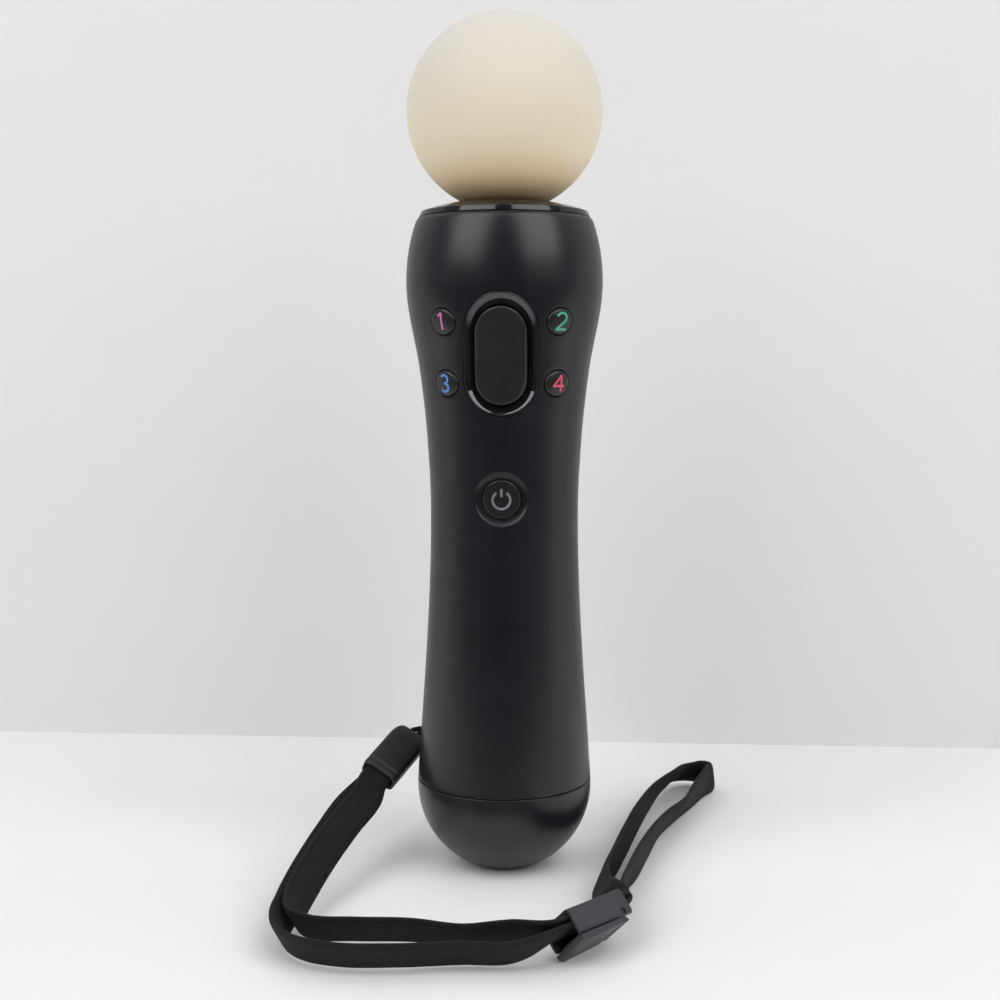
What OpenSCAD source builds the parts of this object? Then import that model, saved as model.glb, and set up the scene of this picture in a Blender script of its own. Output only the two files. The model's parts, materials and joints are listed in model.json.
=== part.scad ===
// Motion controller wand with a soft light orb, thumb buttons, a finger trigger and a wrist strap.
// Millimetres. +Z up, origin at the centre of the flat resting face, thumb side towards -Y.

/* [Handle] */
// Height of the end cap, from the resting face to the seam
cap_h = 20.9; // [18:0.1:26]
// Radius of the handle at the seam
seam_r = 20.9; // [19:0.1:25]
// Radius of the flat resting face
base_r = 8; // [7.8:0.1:11]
// Height of the narrowest ring of the handle
waist_z = 85; // [78:0.5:90]
// Radius of the narrowest ring
waist_r = 17.5; // [16.5:0.1:20]
// Height of the ring below the head where the flare is steepest
neck_z = 118.8; // [114:0.1:122]
// Radius of that ring
neck_r = 19.95; // [19:0.05:21.5]
// Height of the widest ring of the head
head_z = 139; // [136:0.5:142]
// Radius of the widest ring
head_r = 23; // [22:0.1:26]
// Height where the head starts to round over
shoulder_z = 152; // [150:0.1:153]
// Radius where the head starts to round over
shoulder_r = 21.05; // [20.5:0.05:22.5]
// Height of the top rim
rim_z = 154; // [153.5:0.1:158]
// Radius of the top rim
rim_r = 20.2; // [19.8:0.1:20.4]
// Wall of the two handle shells
wall = 1.8; // [1.4:0.1:2.2]
// Wall of the end cap
cap_wall = 2.4; // [2:0.1:3]

/* [Orb] */
// Radius of the light orb
orb_r = 22.64; // [20:0.1:26]
// Wall of the light orb
orb_wall = 2.2; // [1.6:0.1:3]
// Radius of the orb's neck
neck_tube_r = 9.4; // [8.5:0.1:10.5]
// Outer radius of the glossy collar
collar_r = 20; // [19.4:0.1:20.1]
// Rise of the collar above the rim at the neck
collar_rise = 3.6; // [2.5:0.1:4.5]

/* [Buttons] */
// Height of the middle of the thumb buttons
pad_z = 122.8; // [121:0.1:125]
// Height between the two rows of small buttons
row_pitch = 13.8; // [12:0.1:15]
// Angle of the upper small buttons from the front
upper_angle = 36.7; // [36:0.1:42]
// Angle of the lower small buttons from the front
lower_angle = 39.7; // [39:0.1:44]
// Diameter of the small buttons
small_d = 6; // [5:0.1:6.2]
// Width of the oval button
oval_w = 11.7; // [11:0.1:12]
// Height of the oval button
oval_h = 22; // [20:0.1:22.4]
// Width of the glossy bezel
bezel_w = 16.6; // [16:0.1:17]
// Height of the glossy bezel
bezel_h = 27.5; // [26.6:0.1:29]
// Height of the home button
home_z = 89.8; // [88:0.1:92]
// Diameter of the home button
home_d = 8.8; // [8:0.1:10]
// Diameter of the recess round the home button
home_dish_d = 12.4; // [12:0.1:14]
// Depth of that recess
home_dish_t = 0.7; // [0.4:0.05:0.9]
// Height of the two side buttons
side_z = 99; // [98:0.1:103]
// Length of the side buttons
side_l = 8; // [6:0.1:9]
// Width of the side buttons
side_w = 3.6; // [3:0.1:4]
// How far a pressed button travels
travel = 1; // [0.6:0.05:1.2]
// How far the buttons stand proud
proud = 0.5; // [0.2:0.05:0.9]
// How far the side buttons stand proud
side_proud = 0.05; // [0:0.05:0.4]
// Gap between a button and its hole
button_gap = 0.25; // [0.15:0.01:0.35]
// Gap between a button's flange and the wall behind it
flange_gap = 0.2; // [0.1:0.01:0.3]
// Radius of the rubber keypad's face about the handle's axis
keypad_r = 12.4; // [12:0.1:12.8]
// Thickness of the rubber keypad
keypad_t = 1.2; // [0.8:0.1:1.6]

/* [Trigger] */
// Height of the trigger's hinge
hinge_z = 138; // [136:0.1:139]
// Distance of the hinge behind the handle's axis
hinge_y = 15.5; // [15:0.1:16.5]
// Length of the trigger below its hinge
trigger_l = 29; // [26:0.1:30]
// Width of the trigger
trigger_w = 17.2; // [15:0.1:17.4]
// How far the trigger's tip stands out of the handle
trigger_out = 6; // [4:0.1:7]
// Wall of the hollow trigger
trigger_wall = 1.6; // [1.2:0.1:2]
// Diameter of the hinge pin
pin_d = 2; // [1.6:0.1:2.4]
// Gap at each side of the trigger
trigger_gap = 0.4; // [0.3:0.05:0.6]

/* [Inside] */
// Distance of the main board's front face before the handle's axis
board_y = 8.1; // [7.8:0.1:8.4]
// Thickness of the circuit boards
board_t = 1.2; // [0.8:0.1:1.6]
// Thickness of the inner frame's plate
frame_t = 1.2; // [1:0.1:1.6]
// Thickness of the battery
battery_t = 13; // [10:0.1:13.4]
// Height of the battery
battery_h = 42; // [36:0.5:42]
// Diameter of the rumble motor
motor_d = 11; // [9:0.1:12]
// Length of the rumble motor
motor_h = 13; // [11:0.1:13]
// Radius of the motor's off-centre weight
weight_r = 6; // [5:0.1:6.5]
// Length of that weight
weight_h = 5.6; // [4:0.1:6]
// Diameter of the case screws
screw_d = 2; // [1.6:0.1:2.2]
// Height of the socket board above the resting face
io_z = 9.6; // [9.2:0.1:10.5]

/* [Strap] */
// Width of the woven band
band_w = 7.9; // [7.4:0.1:8]
// Thickness of the woven band
band_t = 1.2; // [0.9:0.05:1.25]
// Diameter of the lanyard
lanyard_d = 1.4; // [1:0.1:1.6]
// Length of the sleeve
sleeve_l = 16.6; // [14:0.1:18]
// Width of the sleeve
sleeve_w = 9.2; // [9.1:0.1:10]
// Thickness of the sleeve
sleeve_t = 5.2; // [5:0.1:6]
// Length of the lock
lock_l = 15.8; // [14:0.1:15.9]
// Height of the lock across the band
lock_h = 9.7; // [9.6:0.1:10.4]
// Cheek thickness of the lock
cheek_t = 0.7; // [0.6:0.05:0.75]

/* [Hidden] */
$fn = 96;
// Overshoot of cutting shapes
cut = 1;
// Close clearance between fixed pieces
fit = 0.1;
// Clearance of a turning pin
run_fit = 0.04;
// Reach of cutting shapes past the whole handle
reach = 60;
// Quarter turn of a round piece about its own axis
quarter = 90;

// Profile of the handle: height, radius and slope at each ring that shapes it
seam_slope = -0.068;
neck_slope = 0.135;
shoulder_slope = -0.32;
rim_slope = -0.8;
rings = [
    [cap_h, seam_r, seam_slope], [waist_z, waist_r, 0], [neck_z, neck_r, neck_slope],
    [head_z, head_r, 0], [shoulder_z, shoulder_r, shoulder_slope]
];
body_steps = 40;
patch_steps = 6;
rim_steps = 6;

function hermite(t, p0, p1, m0, m1) =
    (1 - 3 * t * t + 2 * t * t * t) * p0 + (3 * t * t - 2 * t * t * t) * p1
    + (t - 2 * t * t + t * t * t) * m0 + (t * t * t - t * t) * m1;
function ring_below(z) =
    let(found = [for (k = [0 : len(rings) - 2]) if (z <= rings[k + 1].x) k])
    len(found) > 0 ? found[0] : len(rings) - 2;
function body_r(z) =
    let(k = ring_below(z), a = rings[k], b = rings[k + 1], l = b.x - a.x)
    hermite((z - a.x) / l, a.y, b.y, a.z * l, b.z * l);
function side(z0, z1, grow, steps) =
    [for (i = [0 : steps]) let(z = z0 + (z1 - z0) * i / steps) [body_r(z) + grow, z]];
function flip(list) = [for (i = [len(list) - 1 : -1 : 0]) list[i]];

// End cap: an elliptic dome under a short straight band
cap_straight = 1.6;
dome_z = cap_h - cap_straight;
dome_b = dome_z / sqrt(1 - pow(base_r / seam_r, 2));
cap_floor = 2.4;
cap_inner_r = seam_r - cap_wall;
cap_inner_b = dome_b - cap_wall;
dome_steps = 18;
function dome(a_r, b_r, z0) =
    let(a0 = asin((dome_z - z0) / b_r))
    [for (i = [0 : dome_steps]) let(a = a0 * (1 - i / dome_steps)) [a_r * cos(a), dome_z - b_r * sin(a)]];
function cap_inner_at(z) = cap_inner_r * sqrt(1 - pow((dome_z - z) / cap_inner_b, 2));
seam_gap = 0.25;
spigot_t = 1.3;
spigot_h = 2.2;
spigot_r = body_r(cap_h + spigot_h) - wall - fit;

// Rim, collar and orb
rim_open_r = rim_r - 1.3;
collar_edge = 0.7;
// Rounding of the collar's edge, how far it turns, and the bow of the cone above it
collar_round = [1.7, 1.5];
collar_turn = 68;
collar_bow = 0.45;
collar_steps = 7;
collar_skirt_t = 1.4;
collar_skirt_h = 3.6;
collar_sleeve_t = 1.5;
neck_fit = 0.25;
collar_hole_r = neck_tube_r + neck_fit;
collar_top_z = rim_z + collar_rise;
orb_z = collar_top_z + sqrt(orb_r * orb_r - collar_hole_r * collar_hole_r);
orb_flange_t = 1.6;
orb_flange_r = neck_tube_r + 2.2;
led_drop = 7.2;
led_z = rim_z - led_drop;
guide_flange_t = 1.6;
guide_r = 6.6;
guide_top = 8;
led_w = 5;
led_t = 1.5;
seat_gap = 0.2;
orb_flange_z = led_z + board_t + guide_flange_t + seat_gap;
collar_sleeve_z = orb_flange_z + orb_flange_t + seat_gap;

// Space inside the shells at the waist
cavity_gap = 0.5;
cavity_r = waist_r - wall - cavity_gap;
frame_back = board_y - board_t - frame_t;
board_half = sqrt(pow(cavity_r, 2) - pow(board_y, 2)) - cavity_gap;
battery_rise = 13.1;
battery_z = cap_h + battery_rise;
battery_front = -frame_back + 0.5;
battery_back = battery_front + battery_t;
battery_half = sqrt(pow(cavity_r, 2) - pow(battery_back, 2)) - cavity_gap;
shelf_t = 1.2;
board_lap = 12;
board_z0 = battery_z + battery_h - board_lap;
board_z1 = led_z - 2;
frame_z0 = battery_z - shelf_t;

// Case screws: two low, two high, all driven from the rear
boss_r = 2.8;
screw_low = [cavity_r - boss_r - 0.9, battery_z + battery_h + shelf_t + boss_r + 0.4];
screw_high = [head_r - wall - boss_r - 3.2, head_z + 4];
screws = [for (s = [-1, 1]) for (p = [screw_low, screw_high]) [s * p.x, p.y]];
screw_head_d = 2 * screw_d;
screw_head_t = 1.4;
screw_grip = 6;
screw_cover = 2.2;
screw_clear = 0.1;
function screw_seat(p) = sqrt(pow(body_r(p.y) - wall, 2) - p.x * p.x) - screw_cover;

// Thumb buttons: name, angle from the front and height
row_up = pad_z + row_pitch / 2;
row_down = pad_z - row_pitch / 2;
flange_t = 1;
small_flange = 0.55;
stem_d = 3.2;
patch = 8;
small_hole_d = small_d + 2 * button_gap;
stem_end = keypad_r + travel + fit;
bezel_z = pad_z - 0.35;
oval_z = pad_z - 0.75;
oval_gap = 0.3;
oval_flange_x = 0.3;
oval_flange_z = 1;
bezel_proud = 0.3;
bezel_tab_w = 7;
bezel_tab_t = 1;
backer_r = keypad_r - keypad_t;
keypad_half = 7;
tongue_half = 4.5;
keypad_z0 = home_z - 5.5;
keypad_z1 = pad_z + row_pitch / 2 + 6;
keypad_shoulder = pad_z - row_pitch / 2 - 6;

// Side buttons and their switches
side_flange = 0.7;
side_back = body_r(side_z) - wall - flange_gap - flange_t;
side_end = side_back - 0.4;
switch_tip = side_end - travel - fit;
switch_l = 3;
switch_h = 4.4;
switch_d = 5;
plunger_d = 1.6;
plunger_l = 0.7;

// Trigger
trigger_top = 3.5;
trigger_tip_z = hinge_z - trigger_l;
trigger_top_z = hinge_z + trigger_top;
hub_r = 2.6;
ear_t = 2;
ear_gap = 0.2;
pin_half = trigger_w / 2 + trigger_gap + ear_gap + ear_t;
trigger_in = 2.2;
trigger_drop = 2.6;
trigger_steps = 20;
trigger_corner = 5;
tip_round = 4;
spring_r = 2.6;
spring_wire = 0.7;
spring_turns = 7;
spring_drop = 21;
spring_z = hinge_z - spring_drop;
spring_tower = 8.5;
spring_peg_d = 3.4;
tower_r = 3.8;
trigger_inner_y = hinge_y + 0.4;
function trigger_r(z) =
    let(t = (trigger_top_z - z) / (trigger_top_z - trigger_tip_z),
        s = max(0, min(1, 1 - (z - trigger_tip_z) / tip_round)))
    body_r(z) + trigger_out * hermite(t, 0, 1, 0, 0.5) - tip_round * (1 - sqrt(1 - s * s));

// Rumble motor, stood on the battery's upper shelf
motor_y = 2;
motor_z = battery_z + battery_h + shelf_t + 0.6;
boot_wall = 1.6;
boot_short = 3;
boot_h = motor_h - boot_short;
boot_fit = 0.05;
shaft_d = 1.6;
shaft_l = weight_h + 1.4;

// Sockets in the end cap
usb_size = [7.7, 4];
usb_at = [0, 3.6];
ext_size = [9, 3.4];
ext_at = [0, -3.6];
socket_recess = 0.4;
socket_wall = 0.6;
socket_depth = 6;
tongue_t = 1;
contact_d = 2.2;
contact_x = 6.2;
io_r = cap_inner_at(io_z) - 0.6;
post_d = 4.2;
post_at = 10.4;
post_screw_d = 1.6;
post_screw_head = 3.2;
post_screw_t = 1;
post_screw_l = 5;
ribbon_w = 8;
ribbon_t = 0.3;
ribbon_fold = 5;

// Strap anchor in the rear shell
anchor_angle = 128;
anchor_rise = 6.5;
anchor_z = cap_h + anchor_rise;
anchor_pocket = [5.4, 5.4];
anchor_depth = 4.6;
anchor_wall = 1.2;
anchor_pin_d = 1.6;
anchor_dir = [-sin(anchor_angle), -cos(anchor_angle), 0];
anchor_pin_r = body_r(anchor_z) - anchor_depth / 2;
anchor_block_h = anchor_pocket.y + 2 * anchor_wall;

// Sleeve: its lower mouth, its axis towards the anchor, and its turn about that axis
sleeve_at = [-30.9, -0.6, 20.2];
sleeve_dir = [-7, -12.8, -6.4];
sleeve_lean = 56;
sleeve_pocket = 3;
sleeve_inset = 2.6;
sleeve_slack = 0.25;
sleeve_lead = 1.8;
sleeve_round = 1.6;

// Lock: its place on the table, its heading and its roll about its long axis
lock_at = [19.2, -54.5, 7];
lock_heading = 46.5;
lock_roll = 45;
lock_back = 2.55;
lock_wall = 0.65;
lock_front = 3.2;
lock_edge_r = 1;
lever_gap = 0.15;
lever_cap_t = 1.5;
lever_tail_t = 1;
lever_hub_r = 1.1;
lever_nose = [180, 300];
lock_pin_recess = 0.4;
lock_pin_d = 1.4;
lock_pin_x = lock_l / 2 - 2.4;
lock_pin_y = -lock_front + 1;
layer_rear = 1.2;
layer_front = -0.4;
stub = 1.5;
mouth = 0.2;

// Routes along the table: each point is its place and the band's lean from upright
band_stretch = [[-36.4, -8, 15.1, 56], [-39.6, -17, 11.5, 54], [-42, -27, 8.6, 50], [-43.8, -37, 6.2, 42],
    [-44.8, -46, 4.7, 32], [-44.9, -53, 4.2, 27], [-43.2, -59, 4, 28], [-38.6, -63.8, 4, 30]];
band_front = [[-31, -66.4, 3.9, 32], [-19, -66.4, 3.9, 33], [-6, -64.6, 3.9, 33], [4.4, -64.9, 4.4, 36]];
band_loop = [[26.8, -45.6, 6.3, 39], [26.5, -37, 5.5, 21], [28, -26, 4.5, 18], [31, -15.5, 4.2, 7],
    [35, -0.5, 4.2, 10], [39.6, 14.8, 4.1, 23], [45.1, 27.2, 4, 28], [49.8, 40, 4.2, 12], [53.6, 50.2, 4.2, 4],
    [55.4, 55.8, 4.2, -5], [52.6, 58.8, 4.1, -21], [47.4, 57.6, 4, -33], [43.4, 50.5, 4, -29],
    [38.8, 38.7, 4.1, -18], [34, 21.6, 4.2, -6], [29, -0.3, 4.2, -2], [25.8, -14.4, 4.2, -6],
    [22.9, -24.6, 4.5, -22], [23.1, -35, 5.2, -28], [23.5, -42, 7.6, -40]];
band_rear = [[4.2, -59.2, 6.6, -41], [-5, -56.8, 4.2, -34], [-17, -53.8, 3.9, -32], [-29, -53.8, 3.9, -31],
    [-37.5, -53.6, 4, -30], [-42, -50.8, 4.2, -29]];
band_return = [[-43, -45, 5.2, -33], [-42, -36.5, 7.5, -42], [-39.6, -26, 10.6, -50], [-36.3, -16, 13.9, -54],
    [-32.5, -7, 17.4, -56]];
band_ring = 9;
cord_sides = 8;

// Frames and sweeps
function unit(v) = v / norm(v);
function across(t) = unit(cross(t, [0, 0, 1]));
function width_dir(t, lean) = cos(lean) * cross(across(t), t) + sin(lean) * across(t);
function xyz(p) = [p[0], p[1], p[2]];
function span(p, i) = norm(xyz(p[i + 1]) - xyz(p[i]));
function slope(p, i) =
    i == 0 ? (p[1] - p[0]) / span(p, 0)
    : i == len(p) - 1 ? (p[i] - p[i - 1]) / span(p, i - 1)
    : let(a = span(p, i - 1), b = span(p, i))
        ((p[i] - p[i - 1]) * b / a + (p[i + 1] - p[i]) * a / b) / (a + b);
function refine(p, step) = [
    for (i = [0 : len(p) - 2])
        let(l = span(p, i), n = ceil(l / step))
        for (k = [0 : n - 1]) hermite(k / n, p[i], p[i + 1], l * slope(p, i), l * slope(p, i + 1)),
    p[len(p) - 1]
];
function tangent(p, i) = unit(xyz(p[min(i + 1, len(p) - 1)]) - xyz(p[max(i - 1, 0)]));
function flat_ring(w, t) =
    let(x = w / 2, y = t / 2, b = t / 4)
    [[x, -y + b], [x, y - b], [x - b, y], [-x + b, y], [-x, y - b], [-x, -y + b], [-x + b, -y], [x - b, -y]];
function round_ring(d, n) = [for (k = [0 : n - 1]) d / 2 * [cos(360 * k / n), sin(360 * k / n)]];

// A closed skin through rings that all have as many points
module skin(sections) {
    n = len(sections[0]);
    last = len(sections) - 1;
    points = [for (s = sections) for (p = s) p];
    faces = concat(
        [[for (k = [0 : n - 1]) k]],
        [for (i = [0 : last - 1]) for (k = [0 : n - 1])
            for (f = [[i * n + k, (i + 1) * n + k, (i + 1) * n + (k + 1) % n],
                      [i * n + k, (i + 1) * n + (k + 1) % n, i * n + (k + 1) % n]]) f],
        [[for (k = [n - 1 : -1 : 0]) last * n + k]]);
    polyhedron(points, faces);
}

// Sweeps a section along a route whose points carry the section's lean
module sweep(route, section) {
    skin([for (i = [0 : len(route) - 1])
        let(t = tangent(route, i), w = width_dir(t, route[i][3]), n = cross(t, w))
        [for (s = section) xyz(route[i]) + w * s.x + n * s.y]]);
}

// Moves a piece from its own axes (X along, Z across the band) to its place
module along(at, dir, lean) {
    t = unit(dir);
    w = width_dir(t, lean);
    y = cross(w, t);
    multmatrix([[t.x, y.x, w.x, at.x], [t.y, y.y, w.y, at.y], [t.z, y.z, w.z, at.z], [0, 0, 0, 1]])
        children();
}

// A solid of the handle's own outline, grown by a set amount
module body_solid(grow, z0 = cap_h, z1 = shoulder_z, steps = body_steps) {
    rotate_extrude()
        polygon(concat([[0, z0]], side(z0, z1, grow, steps), [[0, z1]]));
}

module body_patch(grow, z, half) {
    body_solid(grow, z - half, z + half, patch_steps);
}

module half_space(s) {
    translate([-reach, s > 0 ? 0 : -reach, -reach])
        cube([2 * reach, reach, 5 * reach]);
}

// Turns a piece that points along +Z to the outward direction at an angle from the front
module outward(angle, z) {
    translate([0, 0, z])
        rotate([90, 0, angle])
            rotate([0, 0, quarter])
                children();
}

module pill(length, width) {
    for (s = [-1, 1])
        translate([0, s * (length - width) / 2])
            circle(d = width);
    square([width, length - width], center = true);
}

module rounded(size, r) {
    square([size.x - 2 * r, size.y], center = true);
    square([size.x, size.y - 2 * r], center = true);
    for (i = [-1, 1])
        for (j = [-1, 1])
            translate([i * (size.x / 2 - r), j * (size.y / 2 - r)])
                circle(r);
}

// The whole handle tube before it is split into two shells
module handle_tube() {
    rim_h = rim_z - shoulder_z;
    rim_arc = [for (i = [1 : rim_steps])
        let(t = i / rim_steps)
        [hermite(t, shoulder_r, rim_r, shoulder_slope * rim_h, rim_slope * rim_h), shoulder_z + rim_h * t]];
    inner_top = rim_z - wall;
    rotate_extrude()
        polygon(concat(
            side(cap_h + seam_gap, shoulder_z, 0, body_steps), rim_arc,
            [[rim_open_r, rim_z], [rim_open_r, inner_top], [shoulder_r - wall, inner_top]],
            flip(side(cap_h + seam_gap, shoulder_z - wall, -wall, body_steps))));
}

module half_tube(s) {
    intersection() {
        handle_tube();
        half_space(s);
    }
}

// Tubes along Y at the case screws, from the split to the wall
module screw_bosses(s, r) {
    intersection() {
        for (p = screws)
            translate([p.x, 0, p.y])
                rotate([-s * 90, 0, 0])
                    cylinder(r = r, h = reach);
        body_solid(-wall / 2);
    }
}

module along_y(p, y0, y1, d) {
    translate([p.x, y1, p.y])
        rotate([90, 0, 0])
            cylinder(d = d, h = y1 - y0);
}

module oval_cut(w, h) {
    rotate([90, 0, 0])
        linear_extrude(reach)
            pill(h, w);
}

module side_cut(s, grow) {
    translate([0, 0, side_z])
        rotate([0, s * 90, 0])
            rotate([0, 0, 90])
                linear_extrude(reach)
                    pill(side_l + 2 * grow, side_w + 2 * grow);
}

module front_shell() {
    color("#202025") difference() {
        union() {
            half_tube(-1);
            screw_bosses(-1, boss_r);
        }
        translate([0, 0, bezel_z])
            oval_cut(bezel_w + 2 * fit, bezel_h + 2 * fit);
        for (s = [-1, 1]) {
            outward(s * upper_angle, row_up)
                cylinder(d = small_hole_d, h = reach);
            outward(s * lower_angle, row_down)
                cylinder(d = small_hole_d, h = reach);
            side_cut(s, button_gap);
        }
        outward(0, home_z)
            cylinder(d = home_d + 2 * button_gap, h = reach);
        difference() {
            outward(0, home_z)
                cylinder(d = home_dish_d, h = reach);
            body_patch(-home_dish_t, home_z, patch);
        }
        for (p = screws)
            along_y(p, -screw_grip - cut, cut, screw_d + 2 * screw_clear);
    }
}

// Pocket in the wall with a bar across it, which the lanyard loops round
module anchor_block(size, h, z) {
    translate([0, 0, z])
        rotate([0, 0, 180 - anchor_angle])
            translate([-size.x / 2, body_r(anchor_z) - size.y, -h / 2])
                cube([size.x, size.y + cut, h]);
}

module anchor_bar(d, h) {
    translate(anchor_dir * anchor_pin_r + [0, 0, anchor_z - h / 2])
        cylinder(d = d, h = h);
}

// Rear outline of the trigger, square at the top and rounded at the tip, drawn out along +Y
module trigger_face(grow, drop, y0) {
    half = trigger_w / 2 + grow;
    z0 = trigger_tip_z - drop;
    r = trigger_corner + grow;
    translate([0, reach, 0])
        rotate([90, 0, 0])
            linear_extrude(reach - y0) {
                translate([-half, z0 + r])
                    square([2 * half, trigger_top_z + grow - z0 - r]);
                translate([r - half, z0])
                    square([2 * (half - r), 2 * r]);
                for (s = [-1, 1])
                    translate([s * (half - r), z0 + r])
                        circle(r);
            }
}

module trigger_opening() {
    trigger_face(trigger_gap, trigger_drop, hinge_y / 2);
}

module trigger_ears() {
    half = trigger_w / 2 + trigger_gap + ear_gap;
    intersection() {
        for (s = [-1, 1])
            translate([s * (half + ear_t / 2), hinge_y, hinge_z])
                rotate([0, 90, 0])
                    linear_extrude(ear_t, center = true) {
                        circle(hub_r);
                        translate([-hub_r, 0])
                            square([2 * hub_r, head_r]);
                    }
        body_solid(-wall / 2);
    }
}

module rear_shell() {
    color("#1f1f24") difference() {
        union() {
            difference() {
                union() {
                    half_tube(1);
                    screw_bosses(1, boss_r);
                }
                trigger_opening();
            }
            trigger_ears();
            intersection() {
                anchor_block([anchor_pocket.x + 2 * anchor_wall, anchor_depth + anchor_wall],
                    anchor_block_h, anchor_z);
                body_solid(-wall / 2);
            }
        }
        for (s = [-1, 1])
            side_cut(s, button_gap);
        for (p = screws) {
            along_y(p, -cut, reach, screw_d + 2 * screw_clear);
            along_y(p, screw_seat(p), reach, screw_head_d + 4 * screw_clear);
        }
        translate([-pin_half - fit, hinge_y, hinge_z])
            rotate([0, 90, 0])
                cylinder(d = pin_d + run_fit, h = 2 * (pin_half + fit));
        anchor_block([anchor_pocket.x, anchor_depth], anchor_pocket.y, anchor_z);
        anchor_bar(anchor_pin_d + run_fit, anchor_block_h - anchor_wall);
    }
}

module end_cap() {
    cap_top = [[spigot_r, cap_h], [spigot_r, cap_h + spigot_h], [spigot_r - spigot_t, cap_h + spigot_h]];
    inner = dome(cap_inner_r, cap_inner_b, cap_floor);
    color("#26262b") difference() {
        union() {
            rotate_extrude()
                polygon(concat([[0, 0]], dome(seam_r, dome_b, 0), [[seam_r, cap_h]], cap_top,
                    [[spigot_r - spigot_t, dome_z + spigot_h / 2], [cap_inner_r, dome_z]],
                    flip(inner), [[0, cap_floor]]));
            for (a = [90, 210, 330])
                rotate([0, 0, a])
                    translate([post_at, 0, cap_floor])
                        cylinder(d = post_d, h = io_z - cap_floor);
        }
        for (s = [[usb_at, usb_size], [ext_at, ext_size]])
            translate([s[0].x, s[0].y, -cut])
                linear_extrude(cap_floor + 2 * cut)
                    square(s[1] + [2 * seat_gap, 2 * seat_gap], center = true);
        for (s = [-1, 1])
            translate([s * contact_x, 0, -cut])
                cylinder(d = contact_d + 2 * fit, h = cap_floor + 2 * cut);
        for (a = [90, 210, 330])
            rotate([0, 0, a])
                translate([post_at, 0, io_z - post_screw_l])
                    cylinder(d = post_screw_d + 2 * fit, h = post_screw_l + cut);
    }
}

// Hollow soft ball whose neck passes the collar and ends in a flange
module light_orb() {
    color("#ece3cf") difference() {
        union() {
            translate([0, 0, orb_z])
                sphere(orb_r);
            translate([0, 0, orb_flange_z])
                cylinder(r = neck_tube_r, h = orb_z - orb_r * 0.8 - orb_flange_z);
            translate([0, 0, orb_flange_z])
                cylinder(r = orb_flange_r, h = orb_flange_t);
        }
        translate([0, 0, orb_z])
            sphere(orb_r - orb_wall);
        translate([0, 0, orb_flange_z - cut])
            cylinder(r = neck_tube_r - orb_wall + seat_gap, h = orb_z - orb_flange_z);
    }
}

module orb_collar() {
    edge = [for (i = [0 : collar_steps])
        let(a = collar_turn * i / collar_steps)
        [collar_r - collar_round.x * (1 - cos(a)), rim_z + collar_round.y * sin(a)]];
    last = edge[collar_steps];
    top = [for (i = [1 : collar_steps])
        let(t = i / collar_steps)
        [last.x + (collar_hole_r - last.x) * t,
         last.y + (collar_top_z - last.y) * t * (1 + collar_bow * (1 - t))]];
    outer = concat(edge, top);
    skirt_r = rim_open_r - fit;
    color("#0c0c0e") rotate_extrude()
        polygon(concat(outer, [
            [collar_hole_r, collar_sleeve_z], [collar_hole_r + collar_sleeve_t, collar_sleeve_z],
            [collar_hole_r + collar_sleeve_t, collar_top_z - collar_sleeve_t],
            [skirt_r - collar_skirt_t, rim_z - collar_edge], [skirt_r - collar_skirt_t, rim_z - collar_skirt_h],
            [skirt_r, rim_z - collar_skirt_h], [skirt_r, rim_z]]));
}

// Clear rod that carries the light up into the orb
module light_guide() {
    z0 = led_z + board_t;
    color("#dfe6ea") difference() {
        union() {
            translate([0, 0, z0])
                cylinder(r = orb_flange_r, h = guide_flange_t);
            translate([0, 0, z0])
                cylinder(r = guide_r, h = rim_z + guide_top - z0);
            translate([0, 0, rim_z + guide_top])
                sphere(guide_r);
        }
        translate([0, 0, z0])
            cube([led_w + 4 * fit, led_w + 4 * fit, 2 * (led_t + fit)], center = true);
    }
}

module led_board() {
    color("#1d5a35") translate([0, 0, led_z])
        cylinder(r = orb_flange_r + 2, h = board_t);
}

module rgb_led() {
    color("#f4f1e6") translate([-led_w / 2, -led_w / 2, led_z + board_t])
        cube([led_w, led_w, led_t]);
}

module oval_bezel() {
    color("#0b0b0d") difference() {
        intersection() {
            translate([0, 0, bezel_z])
                oval_cut(bezel_w, bezel_h);
            body_patch(bezel_proud, bezel_z, bezel_h / 2 + cut);
        }
        difference() {
            body_patch(-wall, bezel_z, bezel_h / 2 + 2 * cut);
            translate([-bezel_tab_w / 2, -reach, oval_z + oval_h / 2 + oval_flange_z + 2 * fit])
                cube([bezel_tab_w, reach - backer_r - patch / 2, bezel_h]);
        }
        translate([0, 0, oval_z])
            oval_cut(oval_w + 2 * oval_gap, oval_h + 2 * oval_gap);
        translate([-reach, -backer_r - patch / 2, oval_z - reach])
            cube([2 * reach, reach, 2 * reach]);
    }
}

module oval_button() {
    back = body_r(oval_z) - wall - flange_gap - flange_t - 2;
    color("#1b1b1e") {
        intersection() {
            translate([0, 0, oval_z])
                oval_cut(oval_w, oval_h);
            body_patch(proud + bezel_proud, oval_z, bezel_h / 2 + cut);
            translate([-reach, -reach, 0])
                cube([2 * reach, reach - back, 3 * reach]);
        }
        intersection() {
            translate([0, 0, oval_z])
                oval_cut(oval_w + 2 * oval_flange_x, oval_h + 2 * oval_flange_z);
            body_patch(-wall - flange_gap, oval_z, bezel_h / 2 + cut);
            translate([-reach, -reach, 0])
                cube([2 * reach, reach - back, 3 * reach]);
        }
        translate([-stem_d, -back - fit, oval_z - oval_h / 3])
            cube([2 * stem_d, back + fit - stem_end, 2 * oval_h / 3]);
    }
}

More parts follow.
